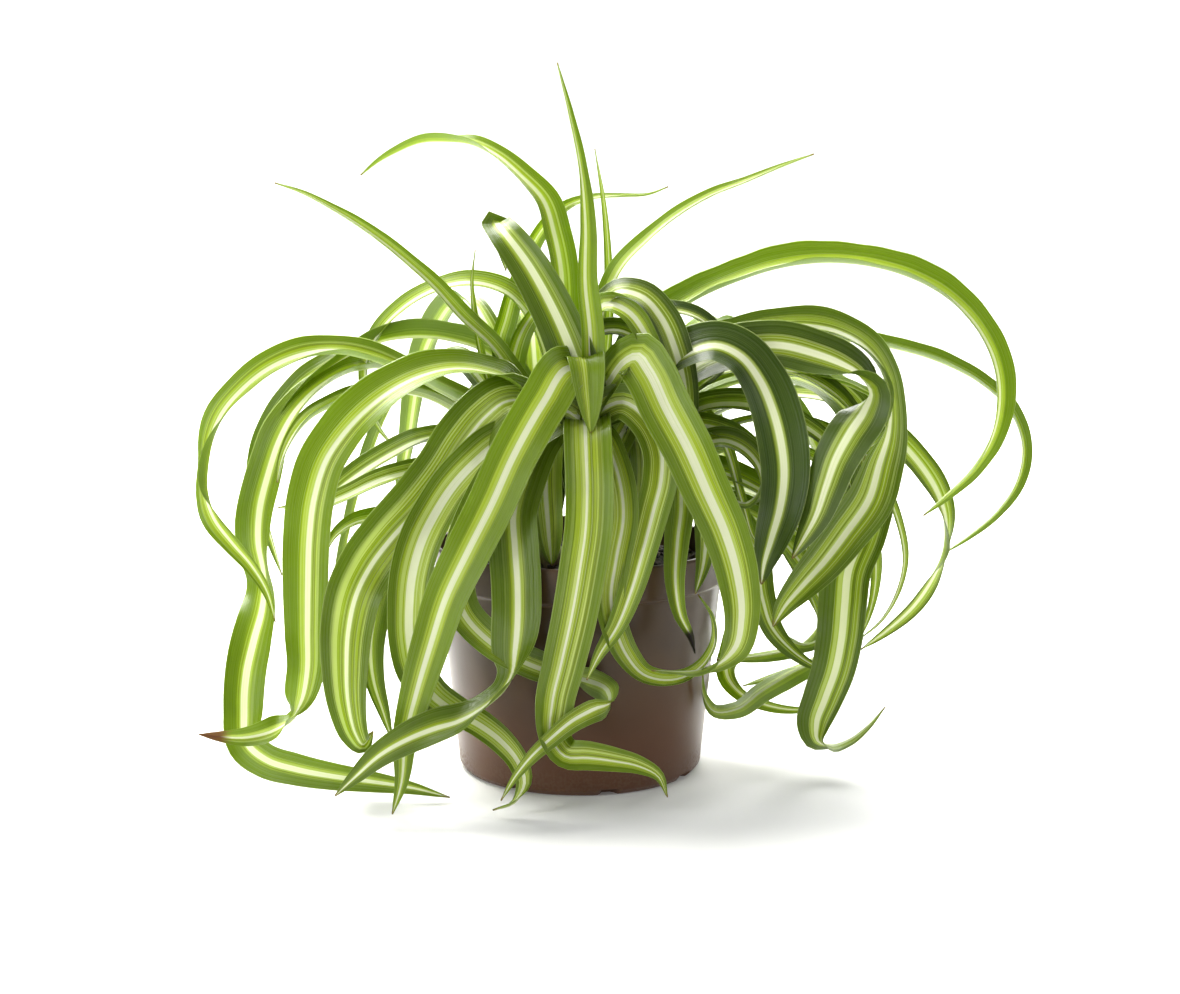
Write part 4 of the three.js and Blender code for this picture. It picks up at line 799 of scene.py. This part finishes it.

# A leaf's tone sets how deep its green is. For the high leaves the light green is painted light shining
# through them from behind, and for the right-hand leaves the deep green is painted shade.
tone = varied(fact["tone"], noise(uv, 7.0, 3.0), 0.4)
green = blend(tone, GREEN_DEEP, GREEN_FRESH)
green = blend(times(mask["Lime"], line(fact["tone"], 0.5, 0.42)), green, LIME)
green = blend(times(mask["Dark"], 0.5), green, GREEN_DEEP)
vein_light = step_between(mask["Vein"], 0.35, 0.7)
green = blend(times(vein_light, 0.08), green, PALE_GREEN)
colour = blend(mask["Pale"], green, PALE_GREEN)
colour = blend(mask["Cream"], colour, CREAM)
colour = blend(times(mask["Edge"], 0.5), colour, MARGIN)
colour = blend(times(step_between(fact["part"], 0.16, 0.02), 0.7), colour, FOOT)
colour = blend(times(fact["under"], 0.35), colour, UNDERSIDE)
burnt = varied(fact["part"], mask["Vein"], 0.03)
brown = step_between(maths("ADD", burnt, fact["dry"]), 0.988, 1.003)
tan = blend(vein_light, TAN_DARK, TAN_LIGHT)
tan = blend(step_between(fact["dry"], 0.035, 0.045), tan, CHARRED)
colour = blend(brown, colour, tan)

rough = line(fact["under"], 0.12, line(mask["Vein"], 0.12, 0.22))
rough = line(brown, 0.25, rough)
relief = bump(mask["Vein"], 0.4, 0.0005)
put(skin, {"Base Color": colour, "Roughness": rough, "Specular IOR Level": 0.38, "Normal": relief})

shine = blend(line(mask["Cream"], -0.22, 0.25), colour, SHONE_THROUGH)
through = add(tree, "ShaderNodeBsdfTranslucent", {"Color": shine, "Normal": relief})
inputs = {0: THROUGH_SHARE, 1: skin.outputs[0], 2: through.outputs[0]}
put(tree.nodes["Material Output"], {"Surface": add(tree, "ShaderNodeMixShader", inputs).outputs[0]})
print("leaf material:", len(tree.nodes), "nodes")

# %% [markdown]
# ## The leaves themselves
# Each leaf becomes one piece. What differs from leaf to leaf, such as the width of its stripe, how
# far that lies off the middle and how deep its green is, comes from seeded chance, and the leaves
# that stand out in the photograph get their own values. The light green given to the high leaves is
# painted light shining through them from behind, and the deep green given to the right-hand leaves is
# painted shade on the side away from the light.

# %% Make the leaves
OWN = {
    "front_keel": dict(stripe=-0.1, tone=0.8, lined=0.6, shift=0.3, bend=4),
    "front_zigzag": dict(bend=2),
    # Light green for the tall leaf: painted light shining through it from behind.
    "front_tall": dict(stripe=0.14, tone=1.0, lined=0.5),
    "front_bent_back": dict(stripe=0.16, tone=0.35, lined=0.3, shift=0.05),
    "front_left_strap": dict(stripe=0.12, tone=0.85, lined=0.35, shift=0.0, bend=3),
    "front_right_strap": dict(stripe=0.18, tone=0.75, lined=0.7, shift=-0.05, bend=4),
    "front_middle_strap": dict(stripe=0.06, tone=0.7, lined=1.0, shift=0.1, bend=2),
    "front_left_twist": dict(stripe=0.12, tone=0.45, lined=0.35, bend=2),
    "front_dry_tip": dict(stripe=0.12, tone=0.65, dry=0.05),
    "left_left_strap": dict(stripe=0.10, tone=0.85, lined=0.7, shift=-0.08, dry=0.03),
    "left_broad": dict(stripe=0.06, tone=0.55, lined=1.0, shift=-0.05),
    "left_outer_arc": dict(stripe=0.12, tone=0.85, lined=0.6),
    "left_under_arc": dict(stripe=0.15, tone=0.7, lined=0.3),
    "right_striped_arc": dict(stripe=0.13, tone=0.5, lined=0.9),
    # Deep green for these right-hand leaves: painted shade on the side of the plant away from the light.
    "right_dark_droop": dict(stripe=0.15, tone=0.05, lined=0.1),
    "right_wide_arc": dict(stripe=0.14, tone=0.15, lined=0.45, dull=0.1),
    "right_inner_arc": dict(tone=0.1),
    "right_dark_curl": dict(tone=0.0),
    "right_inner_bow": dict(tone=0.2),
    "right_second_bow": dict(tone=0.25),
    "right_third_bow": dict(tone=0.2),
    "right_hanging": dict(stripe=0.14, tone=0.35, lined=0.8),
    "right_right_leaf": dict(stripe=0.2, tone=0.4),
    # Light green for the big arc: painted light shining through it from behind.
    "right_big_arc": dict(stripe=0.12, tone=0.9, lined=0.5),
}
for name in ("left_straight", "left_top_arc", "left_thin_up", "left_thin_flat", "left_up_broad",
             "right_up_right", "right_thin_up"):
    OWN[name] = dict(tone=1.0, lined=0.9)  # the high leaves are much lined, and their light green is painted light shining through them from behind


FIRST_SEED = 400


def leaf_facts(name, index):
    """What tells one leaf from the next.

    Stripe half width as a share of the half leaf, its shift, how lined and how deep the green is, the
    dry share of the tip, how dull the underside is, and the point from which on the leaf faces as
    its table says.
    """
    rng = np.random.default_rng(FIRST_SEED + index)
    facts = {
        "seed": FIRST_SEED + index,
        "stripe": rng.uniform(0.09, 0.19),
        "shift": rng.uniform(-0.14, 0.14),
        "lined": rng.uniform(0.45, 1.0),
        "tone": rng.uniform(0.35, 0.95),
        "dry": 0.0,
        "dull": 1.0,
        "bend": 1,
    }
    return facts | OWN.get(name, {})


leaves = []
for rosette, entries in BY_HAND.items():
    for name, shape, points in entries:
        label = f"{rosette}_{name}"
        facts = leaf_facts(label, len(leaves))
        path = midrib(rosette, points)
        steady = len(path) - len(points) + facts["bend"]
        leaves.append(leaf_piece("leaf_" + label, rosette, path, shape, facing_eye, facts, leaf, steady))
print("leaves placed by hand:", len(leaves))

BACK_TAPER, BACK_FOLD, BACK_SWING, BACK_LEAN = 4, 20, 7, 14
turns = {"left": 0, "right": 0}
for number, (rosette, heading, reach, rise, drop, width) in enumerate(BACK_LEAVES):
    i = turns[rosette]
    turns[rosette] += 1
    path = arch(rosette, heading, reach, rise, drop, BACK_SWING if i % 2 else -BACK_SWING)
    upper = facing_sky(heading, BACK_LEAN * (i % 3 - 1))
    label = f"leaf_back_{number + 1:02d}"
    facts = leaf_facts(label, len(leaves))
    leaves.append(leaf_piece(label, rosette, path, (width, BACK_TAPER, BACK_FOLD), upper, facts, leaf))
print("all leaves:", len(leaves), "with", sum(len(o.data.polygons) for o in leaves), "faces")

# %% [markdown]
# ## Crowns
# At the foot of a rosette the leaf bases wrap round each other as pale, folded sheaths. Each crown
# is a stem whose wall is pressed into overlapping folds that turn slowly as they rise.

# %% Sheathed crowns
NECK = 86  # height at which a crown starts to narrow


def crown_surface(stock, folds, rows=34, columns=72):
    """Radius = narrowing rod * (0.94 + 0.13 * saw), where saw is a leaning wave round the stem."""
    up = np.linspace(0, 1, rows)[:, None]
    turn = full_turn(columns)[None, :]
    z = stock["foot"] + (stock["top"] - stock["foot"]) * up
    neck = ease((z - NECK) / (stock["top"] - NECK))
    radius = stock["wide"] - 0.6 + (stock["narrow"] - stock["wide"]) * neck
    radius = radius * np.sqrt(np.clip(1.02 - up ** 9, 0.02, 1))
    phase = (folds * turn + 5 * up + 0.8 * np.sin(2 * turn)) % (2 * np.pi) / (2 * np.pi)
    saw = phase ** 1.6 - 4.0 * np.clip(phase - 0.86, 0, 1) ** 1.2
    radius = radius * (0.94 + 0.13 * saw)
    x, y = stock["x"] + radius * np.cos(turn), stock["y"] + radius * np.sin(turn)
    return np.stack([x, y, np.broadcast_to(z, x.shape)], -1)


SHEATH_GREEN, SHEATH_PALE = (0.20, 0.30, 0.05, 1), (0.44, 0.52, 0.18, 1)
SHEATH_DEEP, SHEATH_FOOT = (0.13, 0.22, 0.03, 1), (0.20, 0.14, 0.08, 1)
sheath, tree, skin = new_material("pale_leaf_sheath")
where = on_object(tree)
fibre = noise(stretched(where, (260, 260, 40)), 1.0, 3.0, 0.6)
body = blend(step_between(fibre, 0.35, 0.65), SHEATH_GREEN, SHEATH_PALE)
body = blend(step_between(noise(where, 60.0), 0.5, 0.7), body, SHEATH_DEEP)
body = blend(step_between(split(where)["Z"], 0.093, 0.085), body, SHEATH_FOOT)
put(skin, {"Base Color": body, "Roughness": line(fibre, 0.3, 0.35), "Normal": bump(fibre, 0.5, 0.0008)})

for (rosette, stock), folds in zip(STOCKS.items(), (4, 6, 7)):
    crown = tube_piece("crown_" + rosette, crown_surface(stock, folds), sheath)
    stands_for(crown, "rosette_" + rosette)
print("crowns:", len(STOCKS))

# %% [markdown]
# ## Pot
# A thin-walled brown nursery pot: a plain tapered wall, a collar that stands out by a step, and
# small notches in the foot that let water out. Its outline is turned about the axis with small
# rounded corners, and the foot is pressed in where a notch is.

# %% Turn the pot
def rounded(profile, radius, steps=5):
    """Each inner corner of an outline becomes a quadratic bend that starts and ends radius away."""
    profile = np.array(profile, float)
    done = [profile[:1]]
    for before, corner, after in zip(profile, profile[1:], profile[2:]):
        back, on = before - corner, after - corner
        reach = min(radius, 0.45 * np.linalg.norm(back), 0.45 * np.linalg.norm(on))
        start = corner + back / np.linalg.norm(back) * reach
        end = corner + on / np.linalg.norm(on) * reach
        t = np.linspace(0, 1, steps)[:, None]
        done.append(start * (1 - t) ** 2 + 2 * corner * t * (1 - t) + end * t * t)
    return np.vstack(done + [profile[-1:]])


def subdivided(profile, longest):
    """Adds even points to stretches that are longer than the given length."""
    out = [profile[:1]]
    for a, b in zip(profile, profile[1:]):
        count = max(1, int(np.ceil(np.linalg.norm(b - a) / longest)))
        out.append(a + (b - a) * (np.arange(1, count + 1) / count)[:, None])
    return np.vstack(out)


def turned(outline, turn):
    """Each outline point (radius, height) goes round the axis: x = r cos, y = r sin of the turn."""
    r, z = outline[:, :1], np.repeat(outline[:, 1:], len(turn), 1)
    return np.stack([r * np.cos(turn), r * np.sin(turn), z], -1)


POT_OUTLINE = [
    (2, 0), (48.5, 0), (50.5, 2.4), (58.4, 79.5), (60.0, 80.6), (60.3, 93.7), (59.6, 94.5),
    (58.3, 94.5), (58.0, 81.5), (56.7, 79.5), (48.8, 4.4), (2, 4.4),
]
outline = subdivided(rounded(POT_OUTLINE, 0.7), 4.0)
turn = full_turn(256)
pot_grid = turned(outline, turn)

NOTCHES, NOTCH_WIDTH, NOTCH_HEIGHT, NOTCH_DEPTH = 8, 6.0, 2.6, 4.0
FOOT_EDGE = 48.5  # outer radius of the flat foot
WALL_RADIUS = 49  # at which a notch's width is measured
FLOOR_RADIUS = 40  # the floor inside it stays flat
centre = (np.arange(NOTCHES) + 0.3) / NOTCHES * 2 * np.pi
gap = np.abs((turn[:, None] - centre + np.pi) % (2 * np.pi) - np.pi).min(1) * WALL_RADIUS
in_notch = 1 - ease((gap - NOTCH_WIDTH / 2 + 0.6) / 1.2)
radius, height = outline[:, :1], outline[:, 1:]
outside = (np.arange(len(outline)) < len(outline) // 2)[:, None]  # the outer wall comes first
pressed = outside & (height < NOTCH_HEIGHT) & (radius > FLOOR_RADIUS)
pull = np.where(pressed, in_notch * np.clip(radius - (FOOT_EDGE - NOTCH_DEPTH), 0, None), 0)
pot_grid[..., 0] -= pull * np.cos(turn)
pot_grid[..., 1] -= pull * np.sin(turn)

plastic, tree, skin = new_material("brown_pot_plastic")
pot = stands_for(tube_piece("pot_shell", pot_grid, plastic), "pot")
print("pot:", len(pot.data.polygons), "faces,", len(outline), "points in its outline")

# %% [markdown]
# The plastic is satin brown. It isn't one flat tone: the moulding leaves soft cloudy patches, faint
# lines run round the wall, which is redder lower down, dust has gathered at the foot, and the top of
# the rim is painted a little lighter in patches, a painted highlight of the light from above.

# %% Pot plastic
BROWN_DARK, BROWN_LIGHT = (0.037, 0.019, 0.006, 1), (0.052, 0.027, 0.009, 1)
# The lighter colour for the rim's top is a painted highlight where light from above falls on it.
RED_BROWN, RIM_TOP_LIGHT, DUSTY = (0.080, 0.032, 0.013, 1), (0.10, 0.06, 0.04, 1), (0.12, 0.08, 0.055, 1)
where = on_object(tree)
cloud = noise(where, 22.0, 3.0, 0.55)
grain = noise(where, 900.0)
rings = noise(stretched(where, (18, 18, 620)), 1.0, 2.0, 0.6)
up = split(where)["Z"]
body = blend(step_between(cloud, 0.35, 0.65), BROWN_DARK, BROWN_LIGHT)
body = blend(step_between(up, 0.060, 0.010), body, RED_BROWN)
# The top of the rim is painted lighter in patches: a painted highlight of the light from above.
rim_top_light = times(step_between(up, 0.0928, 0.0945), step_between(cloud, 0.4, 0.6))
body = blend(times(rim_top_light, 0.35), body, RIM_TOP_LIGHT)
dust = times(step_between(up, 0.016, 0.001), step_between(grain, 0.42, 0.62))
body = blend(times(dust, 0.3), body, DUSTY)
rough = line(dust, 0.25, line(cloud, 0.14, 0.26))
relief = bump(line(rings, 0.5, times(grain, 0.25)), 0.12, 0.0004)
put(skin, {"Base Color": body, "Roughness": rough, "Specular IOR Level": 0.25, "Normal": relief})
print("pot plastic:", len(tree.nodes), "nodes")

# %% [markdown]
# ## Potting soil
# Peat with crumbs and a few pale grains fills the pot to a centimetre below its rim. The top is a
# disc whose height is a sum of gentle and fine waves, and hundreds of small crumbs lie on it.

# %% Soil and crumbs
SOIL_TOP, SOIL_EDGE = 84.4, 56.2
TOP_RINGS = 60


def crumbly(name, dark, light, scale):
    """A loose, matt material: fine specks and broad patches between a dark and a light colour."""
    material, tree, skin = new_material(name)
    where = on_object(tree)
    speck = noise(where, scale, 4.0, 0.65)
    share = line(noise(where, 45.0), 0.4, times(speck, 0.6))
    body = blend(step_between(share, 0.4, 0.62), dark, light)
    rough, relief = line(speck, 0.2, 0.72), bump(speck, 0.7, 0.001)
    put(skin, {"Base Color": body, "Roughness": rough, "Normal": relief})
    return material


def soil_height(x, y):
    """Level, plus slow waves of about 0.9 mm and fine waves of about 0.5 mm."""
    spots = np.stack([np.ravel(x), np.ravel(y)], -1)
    slow, fine = waves(spots, 7, 22.0), waves(spots, 8, 5.0)
    return SOIL_TOP + 0.9 * slow.reshape(np.shape(x)) + 0.5 * fine.reshape(np.shape(x))


peat = crumbly("potting_soil", (0.012, 0.007, 0.004, 1), (0.060, 0.036, 0.021, 1), 420.0)
grit = crumbly("pale_grit", (0.30, 0.27, 0.22, 1), (0.60, 0.57, 0.50, 1), 700.0)
down = subdivided(np.array([(2, 5.0), (48.4, 5.0), (56.0, 77.0), (SOIL_EDGE, 82.6)]), 12.0)
across = np.linspace(SOIL_EDGE - 0.6, 1.0, TOP_RINGS)
outline = np.vstack([down, np.column_stack([across, np.full(TOP_RINGS, SOIL_TOP)])])
soil_grid = turned(outline, full_turn(180))
top = soil_grid[len(down):]
top[..., 2] = soil_height(top[..., 0], top[..., 1])
soil = stands_for(tube_piece("soil_bed", soil_grid, peat), "soil")

# A crumb is a twenty-sided ball, pulled out of round
phi = (1 + 5 ** 0.5) / 2
oblong = [(-1, phi, 0), (1, phi, 0), (-1, -phi, 0), (1, -phi, 0)]
BALL = np.vstack([np.roll(oblong, shift, 1) for shift in range(3)])
BALL_FACES = np.array([(0, 11, 5), (0, 5, 1), (0, 1, 7), (0, 7, 10), (0, 10, 11), (1, 5, 9), (5, 11, 4),
                       (11, 10, 2), (10, 7, 6), (7, 1, 8), (3, 9, 4), (3, 4, 2), (3, 2, 6), (3, 6, 8),
                       (3, 8, 9), (4, 9, 5), (2, 4, 11), (6, 2, 10), (8, 6, 7), (9, 8, 1)])


def crumbs(count, low, high, seed):
    """Balls at seeded places on the soil: corner = place + ball's corner * stretched size."""
    rng = np.random.default_rng(seed)
    out = (SOIL_EDGE - 3) * np.sqrt(rng.uniform(0, 1, count))
    turn = rng.uniform(0, 2 * np.pi, count)
    size = low + (high - low) * rng.uniform(0, 1, count) ** 2.5
    stretch = size[:, None, None] * rng.uniform(0.6, 1.25, (count, 1, 3))
    stretch = stretch * rng.uniform(0.8, 1.2, (count, len(BALL), 1))
    x, y = out * np.cos(turn), out * np.sin(turn)
    middle = np.stack([x, y, soil_height(x, y) + 0.25 * size], -1)
    corners = middle[:, None] + unit(BALL) * stretch
    faces = BALL_FACES[None] + len(BALL) * np.arange(count)[:, None, None]
    return corners.reshape(-1, 3), faces.reshape(-1, 3)


loose = [make_piece("soil_crumbs", *crumbs(900, 0.5, 2.4, 11), peat),
         make_piece("soil_grit", *crumbs(36, 0.5, 1.3, 12), grit)]
for piece in loose:
    stands_for(piece, "soil")
print("soil:", len(soil.data.polygons), "faces and", len(loose[0].data.polygons), "on crumbs")
